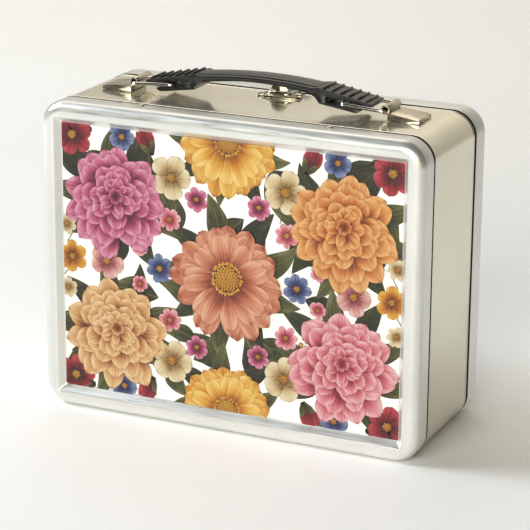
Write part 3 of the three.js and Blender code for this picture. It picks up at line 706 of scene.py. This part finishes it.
def make_rings():
    for side, sign in (("left", -1), ("right", 1)):
        lo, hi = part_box("handle_ring_" + side)
        r = RING_WIRE_R
        pivot_x = (hi.x if sign > 0 else -lo.x) - r
        inner_x = (lo.x if sign > 0 else -hi.x) + r
        low, high, half = lo.z + r, hi.z - r, (hi.y - lo.y) / 2 - r
        gap = RING_END_GAP
        corners = [(pivot_x, gap, low), (pivot_x, half, low), (inner_x, half, high), (inner_x, -half, high),
                   (pivot_x, -half, low), (pivot_x, -gap, low)]
        corners = [(sign * x, sign * y, z) for x, y, z in corners]
        ring = tube("ring_wire_" + side, bent_wire(corners, WIRE_BEND), r, WIRE)
        carried(ring, "ring_" + side, "steel_wire", "handle_ring_" + side)


def refined(node, body, slot, material, width):
    """The CAD node's own shape with its edges rounded by `width`, as a new piece."""
    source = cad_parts[node]
    edit = bmesh.new()
    edit.from_mesh(source.data)
    bmesh.ops.remove_doubles(edit, verts=edit.verts, dist=0.002 * MM)
    bmesh.ops.dissolve_limit(edit, angle_limit=math.radians(1), verts=edit.verts, edges=edit.edges)
    mesh = bpy.data.meshes.new(node + "_fine")
    edit.to_mesh(mesh)
    edit.free()
    piece = bpy.data.objects.new(node + "_fine", mesh)
    bpy.context.scene.collection.objects.link(piece)
    mesh.materials.append(material)
    if width:
        round_off = piece.modifiers.new("edges", "BEVEL")
        round_off.width = width
        round_off.segments = 2
        round_off.limit_method = "ANGLE"
        round_off.angle_limit = math.radians(40)
        applied(piece)
    shade(piece, 35)
    carried(piece, body, slot, node)


# ---------------------------------------------------------------- handle grip

# In mm: where a jaw starts and how high its top is there and at its tip, and the slot's outer end
JAW_X = 36
JAW_TOP = 13.3
JAW_TIP = 7.5
SLOT_OUT = 55.4
GRIP_HALF_Y = 8.8
JAW_END_X = GRIP_HI.x
GRIP_TOP = GRIP_HI.z - HEIGHT

# The crown's two grooves, in mm, and how far its edges fall
GROOVE_Y = 6.7
GROOVE_WIDTH = 0.36
GROOVE_DEPTH = 0.9
CROWN_FALL = 1.3

# The ribs on a jaw, in mm
RIB_COUNT = 6
RIB_START = 1.6
RIB_PITCH = 4.8
RIB_SUNK = 0.6


def arch(half, end, top):
    """A low arch in mm, from -half to half and as high as top in its middle."""
    return bend(Vector((-half, end)), Vector((0, 2 * top - end)), Vector((half, end)), 40)


def grip_outline():
    """The grip's side view as X and Z, clockwise from the left end of the crown."""
    half = [(JAW_X, JAW_TOP, 1), (65.5, JAW_TIP, 0.7), (65.5, 5.4, 0.6), (57.8, 5.8, 0.6),
            (SLOT_OUT, 7.5, 0.6), (39.5, 8.7, 0.7), (39.5, 5.75, 0.7), (SLOT_OUT, 4.6, 0.6),
            (59.9, 3.5, 1.3), (57.2, 1.8, 0.8), (JAW_X, 4.9, 0.7), (33, 8.6, 0.9)]
    top, crown_end, belly_end, belly_top = GRIP_TOP / MM, 13.5, 9.2, 12.3
    crown = arch(35, crown_end, top)
    belly = arch(-32, belly_end, belly_top)
    right = soft_line([(0, crown_end, 0)] + half + [(0, belly_end, 0)])[1:-1]
    left = [Vector((-p.x, p.y)) for p in reversed(right)]
    line = crown + right + belly + left
    return [p * MM for p in line], len(crown)


def make_grip():
    outline, crown_count = grip_outline()
    stations = [(GRIP_HALF_Y, 0.14), (8.76, 0.06), (8.68, 0.01)]
    plain = (8.4, 7.9, 7.5, 7.2, 7.0, 6.85, 6.7, 6.55, 6.4, 6.2, 5.9, 5.2, 4.2, 2.6, 1.0)
    stations += [(y, 0) for y in plain]
    stations = [(-y, inset) for y, inset in stations] + [(0, 0)] + stations[::-1]
    rings = []
    for y, inset in stations:
        line = offset_line(outline, -inset * MM, closed=True)
        ring = []
        for i, p in enumerate(line):
            drop = 0.0
            if i < crown_count:
                fade = min(1, (JAW_X * MM - abs(p.x)) / (4 * MM))
                groove = GROOVE_DEPTH * math.exp(-((abs(y) - GROOVE_Y) / GROOVE_WIDTH) ** 2)
                drop = fade * (groove + CROWN_FALL * (abs(y) / GRIP_HALF_Y) ** 2.4)
            ring.append(Vector((p.x, y * MM, HEIGHT + p.y - drop * MM)))
        rings.append(ring)
    body = loft("grip_body", rings, [PLASTIC], sharp=40)
    extras = [grip_web(sign) for sign in (-1, 1)]
    extras += [grip_rib(sign, i) for sign in (-1, 1) for i in range(RIB_COUNT)]
    grip = joined("grip_moulding", [body] + extras)
    shade(grip, 40)
    carried(grip, "handle", "black_plastic", "handle_grip")


def grip_web(sign):
    """The narrow post that closes a slot's outer end."""
    width, half, soft = 2.6, 6.3, 0.8
    line = soft_line([(0, -half, soft), (width, -half, soft), (width, half, soft), (0, half, soft)])
    rings = []
    for z in (3.4, 7.4):
        rings.append([Vector((sign * (SLOT_OUT * MM + p.x * MM), p.y * MM, HEIGHT + z * MM)) for p in line])
    return loft("grip_web", rings, [PLASTIC])


def grip_rib(sign, i):
    """One thin ridge across a jaw's top, with rounded ends."""
    fall = (JAW_TOP - JAW_TIP) / (JAW_END_X / MM - JAW_X)
    out = RIB_START + RIB_PITCH * i
    width, height, half, round_end = 1.3, 0.9, 8.3, 0.5
    foot = JAW_TOP - fall * out - RIB_SUNK
    crest = foot + RIB_SUNK + height
    section = soft_line([(0, foot, 0), (0.1, crest, 0.45), (width, crest - 0.1, 0.45), (width, foot, 0)])
    middle_x = width / 2
    rings = []
    for y in (-half, -half + 0.15, -half + round_end, half - round_end, half - 0.15, half):
        edge = (half - abs(y)) / round_end
        shrink = 1 if edge >= 1 else 0.55 + 0.45 * math.sqrt(1 - (1 - edge) ** 2)
        ring = []
        for p in section:
            x = middle_x + (p.x - middle_x) * shrink
            z = foot + (p.y - foot) * shrink
            ring.append(Vector((sign * (JAW_X * MM + (out + x) * MM), y * MM, HEIGHT + z * MM)))
        rings.append(ring)
    return loft("grip_rib", rings, [PLASTIC])


# ---------------------------------------------------------------- latch


HOOK_SHEET = 0.9 * MM
HOOK_PLATE_HALF_Y = 4.8 * MM
HOOK_PLATE_SQUARENESS = 0.82
TONGUE_HALF = 4.7 * MM
TONGUE_ROUND = 3.4 * MM
TONGUE_Y = 15.8 * MM
TONGUE_BOW = 0.9 * MM
TONGUE_BACK_BOW = 0.5 * MM
TONGUE_SHEET = 1.2 * MM
TONGUE_LEAN = 0.7 * MM
BAIL_WIRE_R = 0.9 * MM
BAIL_TAPER = 3.7 * MM
BAIL_END_IN = 1.1 * MM


def make_hook():
    """The oblong plate, between an oval and a lozenge, with the tongue on it."""
    lo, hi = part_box("latch_hook")
    x, y = (lo.x + hi.x) / 2, (lo.y + hi.y) / 2
    half_x = (hi.x - lo.x) / 2
    outline = []
    for point in [(math.cos(a), math.sin(a)) for a in turns(56)]:
        across, along = (math.copysign(abs(c) ** HOOK_PLATE_SQUARENESS, c) for c in point)
        outline.append(Vector((x + half_x * across, y + HOOK_PLATE_HALF_Y * along)))
    rings = []
    for inset, share in ((0.0, 0), (0.0, 0.55), (0.12, 0.85), (0.4, 1)):
        line = offset_line(outline, inset * MM, closed=True)
        rings.append([Vector((p.x, p.y, lo.z + share * HOOK_SHEET)) for p in line])
    plate = loft("hook_plate", rings, [NICKEL], sharp=50)
    tongue = hook_tongue(x, lo.z + HOOK_SHEET * 0.8, hi.z)
    hook = joined("hook_smooth", [plate, tongue])
    shade(hook, 50)
    carried(hook, "root", "nickel_plate", "latch_hook")


def hook_tongue(x, foot, top):
    """An upright tongue, bowed towards the front, with a round top."""
    heights = [foot + (top - foot) * t for t in (0, 0.15, 0.3, 0.45, 0.6)]
    heights += [top - TONGUE_ROUND * (1 - math.sin(a)) for a in steps(0.25, 0.47 * math.pi, 9)]
    rings = []
    for z in heights:
        above = max(0, z - (top - TONGUE_ROUND)) / TONGUE_ROUND
        width = TONGUE_HALF * math.sqrt(max(1 - above ** 2, 0.002))
        y = TONGUE_Y - TONGUE_LEAN * (z - foot) / (top - foot)
        line = []
        for t in steps(-1, 1, 12):
            line.append(Vector((x + width * t, y - TONGUE_BOW * bowed(t * width), z)))
        for t in steps(1, -1, 12):
            line.append(Vector((x + width * t, y + TONGUE_SHEET - TONGUE_BACK_BOW * bowed(t * width), z)))
        rings.append(line)
    return loft("tongue", rings, [NICKEL], sharp=50)


def bowed(across):
    """The tongue's bow, from 1 at its middle to 0 at its full half width."""
    return 1 - (across / TONGUE_HALF) ** 2


def make_bail():
    lo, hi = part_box("latch_bail")
    lever_lo, lever_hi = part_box("latch_lever")
    r = BAIL_WIRE_R
    x, half = (lo.x + hi.x) / 2, (hi.x - lo.x) / 2 - r
    front, rear, low, high = lo.y + r, hi.y - r, lo.z + r, hi.z - r
    end = (lever_hi.x - lever_lo.x) / 2 - BAIL_END_IN
    narrow = half - BAIL_TAPER
    corners = [(-end, rear, high), (-half, rear, high), (-narrow, front, low), (narrow, front, low),
               (half, rear, high), (end, rear, high)]
    corners = [(x + cx, cy, cz) for cx, cy, cz in corners]
    bail = tube("bail_wire", bent_wire(corners, WIRE_BEND), r, WIRE)
    carried(bail, "bail", "steel_wire", "latch_bail")


# ---------------------------------------------------------------- flower print

PRINT_HALF = WIDTH / 2 - PANEL_IN
PRINT_LO_Z = PANEL_IN
PRINT_HI_Z = HEIGHT - PANEL_IN
GROUND_Y = FACE_Y + PANEL_DEPTH - 0.02 * MM
PRINT_Y = FACE_Y + PANEL_DEPTH - 0.03 * MM

# No two shapes lie at one depth: a bloom is raised by levels, and its petals within it by layers
LEVEL = 0.1 * MM
LAYER = 0.006 * MM

# The print's four sides: which way each faces, and how far out it is that way
PRINT_SIDES = (((1, 0, 0), PRINT_HALF), ((-1, 0, 0), PRINT_HALF),
               ((0, 0, 1), PRINT_HI_Z), ((0, 0, -1), -PRINT_LO_Z))

# The drawn light comes from the upper left, and the blooms face a little downwards
LIT_FROM = 2.2
DOWNWARDS = -math.pi / 2
SLANT = 0.1
GOLDEN_ANGLE = math.radians(137.508)
VEINS = 6
SPRAY_LEAFLETS = 8
EYE_SHADOW = (30, 16, 8)
PETAL_ACROSS = (-1, -0.92, -0.78, -0.42, 0, 0.42, 0.78, 0.92, 1)

# Width at the root, where the petal is widest, then how full and how pointed its tip is
PETAL_SHAPES = {
    "petal": (0.34, 0.58, 1.8, 0.80),
    "ray": (0.26, 0.66, 2.3, 0.66),
    "round": (0.24, 0.62, 2.2, 0.50),
    "leaf": (0.04, 0.42, 1.5, 0.95),
}
TIP_WIDTH = 0.015

# Screen colours, each deep, middle and light

YELLOW = ((140, 76, 16), (226, 164, 62), (252, 220, 138))
GOLD = ((122, 62, 12), (206, 136, 36), (240, 196, 92))
MAGENTA = ((98, 24, 54), (184, 82, 120), (236, 170, 196))
PINK = ((146, 44, 66), (216, 118, 132), (248, 200, 204))
BLUSH = ((140, 66, 76), (212, 144, 142), (240, 204, 194))
PEACH = ((112, 46, 32), (196, 116, 86), (240, 188, 158))
CREAM = ((138, 74, 38), (212, 160, 106), (246, 216, 170))
APRICOT = ((130, 58, 22), (212, 134, 70), (244, 196, 134))
IVORY = ((136, 104, 60), (218, 194, 150), (246, 234, 206))
BLUE = ((36, 44, 84), (86, 98, 146), (150, 164, 200))
RED = ((74, 14, 28), (150, 38, 54), (204, 86, 96))
LEAF = ((48, 50, 26), (92, 92, 52), (146, 144, 98))
LEAF_DARK = ((28, 30, 16), (60, 62, 34), (96, 98, 62))
SPRIG = ((62, 70, 38), (112, 120, 78), (160, 166, 124))


def mix(a, b, t):
    return tuple(p + (q - p) * t for p, q in zip(a, b))


def ease(t, start=0.0, end=1.0):
    t = min(max((t - start) / (end - start), 0), 1)
    return t * t * (3 - 2 * t)


def tone(palette, t):
    """A screen colour from a palette of deep, middle and light: 0 is deep and 1 is light."""
    deep, mid, light = palette
    return mix(deep, mid, t * 2) if t < 0.5 else mix(mid, light, min(t * 2 - 1, 1))


class Print:
    """Flat printed shapes gathered into one sheet, each a little in front of the one before it."""

    def __init__(self, seed):
        self.chance = random.Random(seed)
        self.verts, self.faces, self.inks, self.strokes = [], [], [], []
        self.level = 0

    def depth(self, layer):
        return PRINT_Y - self.level * LEVEL - layer * LAYER

    def grid(self, rows):
        """Adds a patch from rows of (x, z, y, screen colour, stroke), all rows of the same length."""
        first, count = len(self.verts), len(rows[0])
        for row in rows:
            for x, z, y, ink, stroke in row:
                self.verts.append((x, y, z))
                self.inks.append((*srgb(*ink), 1))
                self.strokes.append(stroke)
        for j in range(len(rows) - 1):
            for i in range(count - 1):
                a = first + j * count + i
                self.faces.append((a, a + 1, a + count + 1, a + count))

    def petal(self, x, z, angle, length, width, palette, layer, shape="petal", ramp=(0.3, 0.75), dark=0.0,
              curl=0.0, along=12, rim=0.16):
        """One petal from its root at x, z (mm), pointing along `angle` (radians up from +X)."""
        seed = self.chance.uniform(0, 40)
        tint = self.chance.uniform(-0.06, 0.06)
        facing = math.cos(angle + math.pi / 2 - LIT_FROM)
        rows = []
        for t in steps(0, 1, along):
            half = width / 2 * outline_at(shape, t)
            direction = angle + curl * t * t
            row = []
            for s in PETAL_ACROSS:
                u, v = t * length, s * half
                px = x + (u * math.cos(direction) - v * math.sin(direction))
                pz = z + (u * math.sin(direction) + v * math.cos(direction))
                edge = math.exp(-((abs(s) - 0.86) / 0.14) ** 2)
                light = ease(t, *ramp) * (1 - 0.22 * (1 - abs(s))) + rim * edge * ease(t, 0.25, 0.8)
                light += tint - dark + 0.13 * s * facing
                ink = tone(palette, min(max(light, 0.0), 1))
                if abs(s) == 1 or t == 1:
                    ink = mix(ink, palette[0], 0.55)
                row.append((px * MM, pz * MM, self.depth(layer), ink, (u, v, seed)))
            rows.append(row)
        self.grid(rows)

    def ring(self, x, z, count, radius, length, width, palette, layer, turn=0.0, reach=None, jitter=0.05,
             **look):
        """A ring of petals whose roots stand `radius` from the centre; reach(angle) scales their length."""
        order = list(range(count))
        self.chance.shuffle(order)
        for i in range(count):
            angle = turn + 2 * math.pi * (i + self.chance.uniform(-jitter, jitter) * 2) / count
            scale = (reach(angle) if reach else 1) * self.chance.uniform(0.93, 1.05)
            px = x + radius * math.cos(angle) * scale
            pz = z + radius * math.sin(angle) * scale
            lean = angle + self.chance.uniform(-1.2, 1.2) * jitter
            broad = width * self.chance.uniform(0.94, 1.06)
            self.petal(px, pz, lean, length * scale, broad, palette, layer + 2.4 * order[i] / count, **look)

    def dot(self, x, z, r, ink, rim, layer, sides):
        """A round dot, its rim in a second colour."""
        rows = []
        for share in (0.02, 0.6, 1.0):
            row = []
            for i in range(sides + 1):
                a = 2 * math.pi * i / sides
                colour = mix(ink, rim, ease(share, 0.4, 1.0))
                row.append(((x + r * share * math.cos(a)) * MM, (z + r * share * math.sin(a)) * MM,
                            self.depth(layer), colour, (x + r * share, z + a, 3.0)))
            rows.append(row)
        self.grid(rows)

    def eye(self, x, z, r, layer, count, size):
        """A daisy's eye: a dark disc under a spiral of small golden florets."""
        base, rim, ink = GOLD
        self.dot(x, z, r * 1.04, base, mix(base, EYE_SHADOW, 0.6), layer, 28)
        for i in range(count):
            share = math.sqrt((i + 0.5) / count)
            a = i * GOLDEN_ANGLE
            lit = 0.5 + 0.5 * math.cos(a - LIT_FROM) * share
            colour = mix(rim, ink, 0.35 + 0.65 * lit)
            px, pz = x + r * share * math.cos(a), z + r * share * math.sin(a)
            self.dot(px, pz, r * size * (1.15 - 0.45 * share), colour, mix(colour, base, 0.75),
                     layer + 1 + share * 0.5, 7)

    def strip(self, line, widths, palette, layer, count):
        """A stem or vein: a tapered strip along a curve through points in mm, `count` steps between two."""
        points = [Vector(p) for p in line]
        path = []
        for i in range(len(points) - 1):
            before = points[max(i - 1, 0)]
            after = points[min(i + 2, len(points) - 1)]
            for t in steps(0, 1, count)[: None if i == len(points) - 2 else -1]:
                p, q = points[i], points[i + 1]
                path.append(0.5 * ((2 * p) + (q - before) * t + (2 * before - 5 * p + 4 * q - after) * t * t
                                   + (3 * p - before - 3 * q + after) * t ** 3))
        rows = []
        for i, p in enumerate(path):
            ahead = (path[min(i + 1, len(path) - 1)] - path[max(i - 1, 0)]).normalized()
            side = Vector((-ahead.y, ahead.x))
            half = (widths[0] + (widths[1] - widths[0]) * i / (len(path) - 1)) / 2
            row = []
            for s in (-1, 0, 1):
                q = p + side * half * s
                ink = tone(palette, 0.45 + 0.35 * s)
                row.append((q.x * MM, q.y * MM, self.depth(layer), ink, (i * 0.6, s * half, 9.0)))
            rows.append(row)
        self.grid(rows)

    def leaf(self, x, z, angle, length, width, palette, layer, curl):
        """A pointed leaf with a pale midrib and side veins."""
        self.level += 0.012
        self.petal(x, z, angle, length, width, palette, layer, shape="leaf", ramp=(-0.4, 1.5), curl=curl,
                   along=14)

        def along_rib(t):
            a = angle + curl * t * t
            return x + t * length * math.cos(a), z + t * length * math.sin(a)

        rib = [along_rib(t) for t in steps(0, 0.97, 6)]
        self.strip(rib, (0.5, 0.12), (palette[1], palette[2], palette[2]), layer + 1.4, 4)
        for i in range(1, VEINS):
            t = i / VEINS * 0.86
            px, pz = along_rib(t)
            reach = width / 2 * outline_at("leaf", min(t + 0.12, 1)) * 0.95
            for side in (-1, 1):
                a = angle + curl * t + side * 0.75
                end = (px + reach * 1.25 * math.cos(a), pz + reach * 1.25 * math.sin(a))
                self.strip([(px, pz), end], (0.22, 0.05), palette, layer + 1.3, 4)

    def finish(self, name):
        """The sheet cut off at the panel's edges, as one piece that rides on the box."""
        obj = new_mesh(name, self.verts, self.faces, [INK])
        mesh = obj.data
        ink = mesh.attributes.new("ink", "FLOAT_COLOR", "POINT")
        ink.data.foreach_set("color", [c for colour in self.inks for c in colour])
        stroke = mesh.attributes.new("stroke", "FLOAT_VECTOR", "POINT")
        stroke.data.foreach_set("vector", [c for place in self.strokes for c in place])
        edit = bmesh.new()
        edit.from_mesh(mesh)
        for normal, place in PRINT_SIDES:
            bmesh.ops.bisect_plane(edit, geom=edit.verts[:] + edit.edges[:] + edit.faces[:],
                                   plane_co=Vector(normal) * place, plane_no=normal, clear_outer=True)
        for face in edit.faces:
            face.normal_update()
            if face.normal.y > 0:
                face.normal_flip()
        edit.to_mesh(mesh)
        edit.free()
        carried(obj, "root", "flower_print")


def outline_at(shape, t):
    """A petal's half width, from 0 to 1, at t along it."""
    base, widest, power, sharpness = PETAL_SHAPES[shape]
    if t < widest:
        return base + (1 - base) * math.sin(math.pi / 2 * t / widest)
    return max(1 - ((t - widest) / (1 - widest)) ** power, 0.0) ** sharpness + TIP_WIDTH


def slanted(angle):
    """How much longer a petal at this angle is, on a bloom that faces a little downwards."""
    return 1 + SLANT * math.cos(angle - DOWNWARDS)


def dahlia(sheet, x, z, r, palette, rings):
    """Rings of cupped petals, packed tighter towards a closed heart."""
    for k in range(rings):
        share = 1 - k / rings
        count = round(7 + 8 * share)
        length = r * (0.24 + 0.40 * share)
        radius = max(r * share ** 0.95 - length * 0.98, 0.02 * r)
        width = max(2 * math.pi * r * share ** 0.9 / count * 1.04, 0.15 * r)
        drift = SLANT * r * 0.3 * share
        px, pz = x + drift * math.cos(DOWNWARDS), z + drift * math.sin(DOWNWARDS)
        sheet.ring(px, pz, count, radius, length, width, palette, k * 3.0, turn=k * 0.61, reach=slanted,
                   jitter=0.2, ramp=(0.30 if k < rings - 1 else 0.05, 0.92), dark=0.05 * (1 - share) - 0.02,
                   rim=0.26)
    top = rings * 3.0
    sheet.dot(x, z, r * 0.06, palette[0], palette[0], top, 14)
    for i in range(8):
        sheet.petal(x, z, i * GOLDEN_ANGLE, r * 0.15, r * 0.10, palette, top + 1 + i * 0.3, ramp=(0.0, 1.2),
                    dark=0.03, rim=0.3)


def gerbera(sheet, x, z, r, palette, count):
    """Long flat rays in three layers round a raised eye."""
    heart = r * 0.22
    width = 2 * math.pi * r / count
    for k, (size, dark, broad) in enumerate(((1.0, 0.30, 0.98), (0.95, 0.15, 0.96), (0.80, 0.0, 0.84))):
        sheet.ring(x, z, count - 2 * (k == 2), heart * 0.5, r * size - heart * 0.5, width * broad, palette,
                   k * 3.0, turn=k * 0.5 * math.pi / count + 0.2 * k, reach=slanted, shape="ray", jitter=0.12,
                   ramp=(0.0, 0.8), dark=dark, rim=0.12)
    sheet.ring(x, z, 34, heart * 0.7, heart * 0.62, r * 0.05, GOLD, 9.5, ramp=(-0.2, 1.0), jitter=0.2,
               along=6)
    sheet.eye(x, z, heart, 12.5, 70, 0.16)


def blossom(sheet, x, z, r, palette, petals, turn):
    """A small open flower with one ring of round petals."""
    sheet.level += 0.022
    heart = r * 0.2
    width = 2 * math.pi * r * 0.62 / petals * 1.12
    sheet.ring(x, z, petals, r * 0.04, r * 0.96, width, palette, 1.0, turn=turn, shape="round",
               ramp=(0.05, 0.85))
    sheet.ring(x, z, petals * 2, heart * 0.5, r * 0.30, r * 0.07, (palette[0], palette[0], palette[1]), 3.0,
               turn=turn, ramp=(0.0, 1.0))
    sheet.eye(x, z, heart, 4.0, 18, 0.28)


def bud(sheet, x, z, angle, length, palette):
    """A closed bud with two sepals, pointing along an angle."""
    sheet.level += 0.022
    for i, lean in enumerate((-0.22, 0.22, 0.0)):
        sheet.petal(x, z, angle + lean, length * (0.94 + 0.06 * (i == 2)), length * 0.42, palette, 2.0 + i,
                    ramp=(-0.2, 1.2), dark=0.06 * i)
    for lean in (-0.5, 0.5):
        sheet.petal(x, z, angle + lean, length * 0.55, length * 0.2, LEAF, 5.0, ramp=(-0.3, 1.2))


def spray(sheet, x, z, angle, length, berries):
    """A fine sprig with paired leaflets, or berries at its tips."""
    curl = sheet.chance.uniform(-0.5, 0.5)

    def along_stem(t):
        a = angle + curl * t
        return x + t * length * math.cos(a), z + t * length * math.sin(a)

    sheet.strip([along_stem(t) for t in steps(0, 1, 4)], (0.55, 0.2), SPRIG, 0.2, 6)
    for i in range(SPRAY_LEAFLETS):
        t = 0.25 + 0.75 * i / SPRAY_LEAFLETS
        px, pz = along_stem(t)
        side = 1 if i % 2 else -1
        a = angle + curl * t + side * 0.8
        reach = length * 0.26 * (1.1 - 0.6 * t)
        if berries:
            tip = (px + reach * math.cos(a), pz + reach * math.sin(a))
            sheet.strip([(px, pz), tip], (0.3, 0.2), SPRIG, 0.3, 4)
            sheet.dot(*tip, length * 0.055, berries[2], berries[0], 0.8, 12)
        else:
            sheet.petal(px, pz, a, reach, reach * 0.42, SPRIG, 0.6, shape="leaf", ramp=(-0.3, 1.2))


def make_ground():
    """The white ground under the flowers: a flat sheet, a hair in front of the panel."""
    across, up = 36, 28
    rows = []
    for j in range(up + 1):
        for i in range(across + 1):
            x = -PRINT_HALF + 2 * PRINT_HALF * i / across
            z = PRINT_LO_Z + (PRINT_HI_Z - PRINT_LO_Z) * j / up
            rows.append((x, GROUND_Y, z))
    faces = []
    for j in range(up):
        for i in range(across):
            a = j * (across + 1) + i
            faces.append((a, a + 1, a + across + 2, a + across + 1))
    ground = new_mesh("print_white", rows, faces, [GROUND])
    carried(ground, "root", "flower_print")


# The print is a half-drop repeat: columns and rows in mm, with every second column half a row lower
COLUMN = 66
ROW = 74
MIDDLE_Z = (PRINT_LO_Z + PRINT_HI_Z) / 2 / MM

# Each big bloom: its kind, column, row, radius, inks, rings or rays and how high it lies
BIG_BLOOMS = {
    "print_dahlia_magenta": ("dahlia", -1, 0.5, 31, MAGENTA, 6, 3.3),
    "print_dahlia_apricot": ("dahlia", 1, 0.5, 31, APRICOT, 6, 4.3),
    "print_dahlia_cream": ("dahlia", -1, -0.5, 31, CREAM, 6, 5.6),
    "print_dahlia_pink": ("dahlia", 1, -0.5, 31, PINK, 6, 2.3),
    "print_gerbera_peach": ("gerbera", 0, 0, 33, PEACH, 17, 6.8),
    "print_gerbera_yellow_upper": ("gerbera", 0, 1, 28, YELLOW, 16, 3.3),
    "print_gerbera_yellow_lower": ("gerbera", 0, -1, 28, YELLOW, 16, 3.3),
}

# Small blossoms, mirrored into each quarter: distance from the print's middle along X and Z, radius and inks
FILLERS = ((33, 51, 12.5, IVORY), (92, 68, 12, RED), (40, 0, 8.5, BLUE), (72, 0, 10.5, BLUSH),
           (93, 0, 9, GOLD), (34, 28, 7, PINK), (62, 70, 8, BLUE), (18, 41, 7, MAGENTA),
           (96, 18, 6, IVORY), (52, 10, 5, PINK))
LOOSE_LEAVES = 46
BLOOM_LEAVES = 9


def bloom_centre(column, row):
    return column * COLUMN, MIDDLE_Z + row * ROW


def quarters():
    """The signs of X and Z in each quarter of the print."""
    return [(side, above) for side in (-1, 1) for above in (-1, 1)]


def make_greens():
    sheet = Print(21)
    for i in range(LOOSE_LEAVES):
        x, z = sheet.chance.uniform(-92, 92), sheet.chance.uniform(18, 154)
        length = sheet.chance.uniform(20, 34)
        turn = sheet.chance.uniform(0, 2 * math.pi)
        sheet.leaf(x, z, turn, length, length * 0.5, (LEAF_DARK, LEAF)[i % 2], 0.0, curl=0.3)
    for _, column, row, r, *_ in BIG_BLOOMS.values():
        x, z = bloom_centre(column, row)
        for i in range(BLOOM_LEAVES):
            angle = 2 * math.pi * (i + 0.5) / BLOOM_LEAVES
            length = r * sheet.chance.uniform(0.8, 1.0)
            root = (x + 0.45 * r * math.cos(angle), z + 0.45 * r * math.sin(angle))
            sheet.leaf(*root, angle, length, length * 0.42, (LEAF, LEAF_DARK)[i % 2],
                       2.0 * sheet.chance.random(), curl=sheet.chance.uniform(-0.3, 0.3))
    for side, above in quarters():
        for k, berries in enumerate((None, GOLD, None, PINK)):
            sheet.level = 1.25 if berries else 1.15
            x = side * (30 + 22 * k)
            angle = math.pi / 2 * above + 0.3 * side * (k - 1)
            spray(sheet, x, MIDDLE_Z + above * (34 - 26 * (k % 2)), angle, 26, berries)
    sheet.finish("print_greens")


def make_small_blooms():
    sheet = Print(33)
    sheet.level = 1.4
    for side, above in quarters():
        angle = above * (math.pi / 2 - 0.45 * side)
        bud(sheet, side * 44, MIDDLE_Z + above * 62, angle, 16, RED)
        bud(sheet, side * 80, MIDDLE_Z + above * 72, math.pi / 2 * (1 - side) * above, 14, PINK)
    for side, above in quarters():
        for i, (x, z, r, palette) in enumerate(FILLERS):
            if z or above > 0:
                blossom(sheet, side * x, MIDDLE_Z + above * z, r, palette, 5 + i % 3, 0.4 * i)
    sheet.finish("print_small_blooms")


def make_big_blooms():
    for seed, (name, bloom) in enumerate(BIG_BLOOMS.items()):
        kind, column, row, r, palette, count, level = bloom
        x, z = bloom_centre(column, row)
        sheet = Print(41 + seed)
        sheet.level = level
        if kind == "dahlia":
            dahlia(sheet, x, z, r, palette, count)
        else:
            gerbera(sheet, x, z, r, palette, count)
        sheet.finish(name)


# ---------------------------------------------------------------- run

make_camera()
make_world()
make_lights()
make_floor()
make_case()

for which in ("left", "right"):
    make_rivet("cover_rivet_top_" + which, "root")
    make_rivet("hook_rivet_" + which, "root")
    make_rivet("latch_base_rivet_" + which, "lid")
    refined("cover_rivet_bottom_" + which, "root", "nickel_plate", NICKEL, 0)
    refined("hinge_leaf_body_" + which, "root", "nickel_plate", NICKEL, 0.08 * MM)
    refined("hinge_leaf_lid_" + which, "lid", "nickel_plate", NICKEL, 0.08 * MM)
    refined("hinge_pin_" + which, "root", "steel_wire", WIRE, 0.08 * MM)
    refined("handle_bracket_" + which, "root", "nickel_plate", NICKEL, 0.18 * MM)
refined("latch_base", "lid", "nickel_plate", NICKEL, 0.12 * MM)
refined("latch_lever", "lever", "nickel_plate", NICKEL, 0.15 * MM)
refined("latch_pin", "lid", "steel_wire", WIRE, 0.1 * MM)
make_rings()
make_grip()
make_hook()
make_bail()
make_ground()
make_greens()
make_small_blooms()
make_big_blooms()

bpy.context.scene.view_settings.view_transform = "Standard"
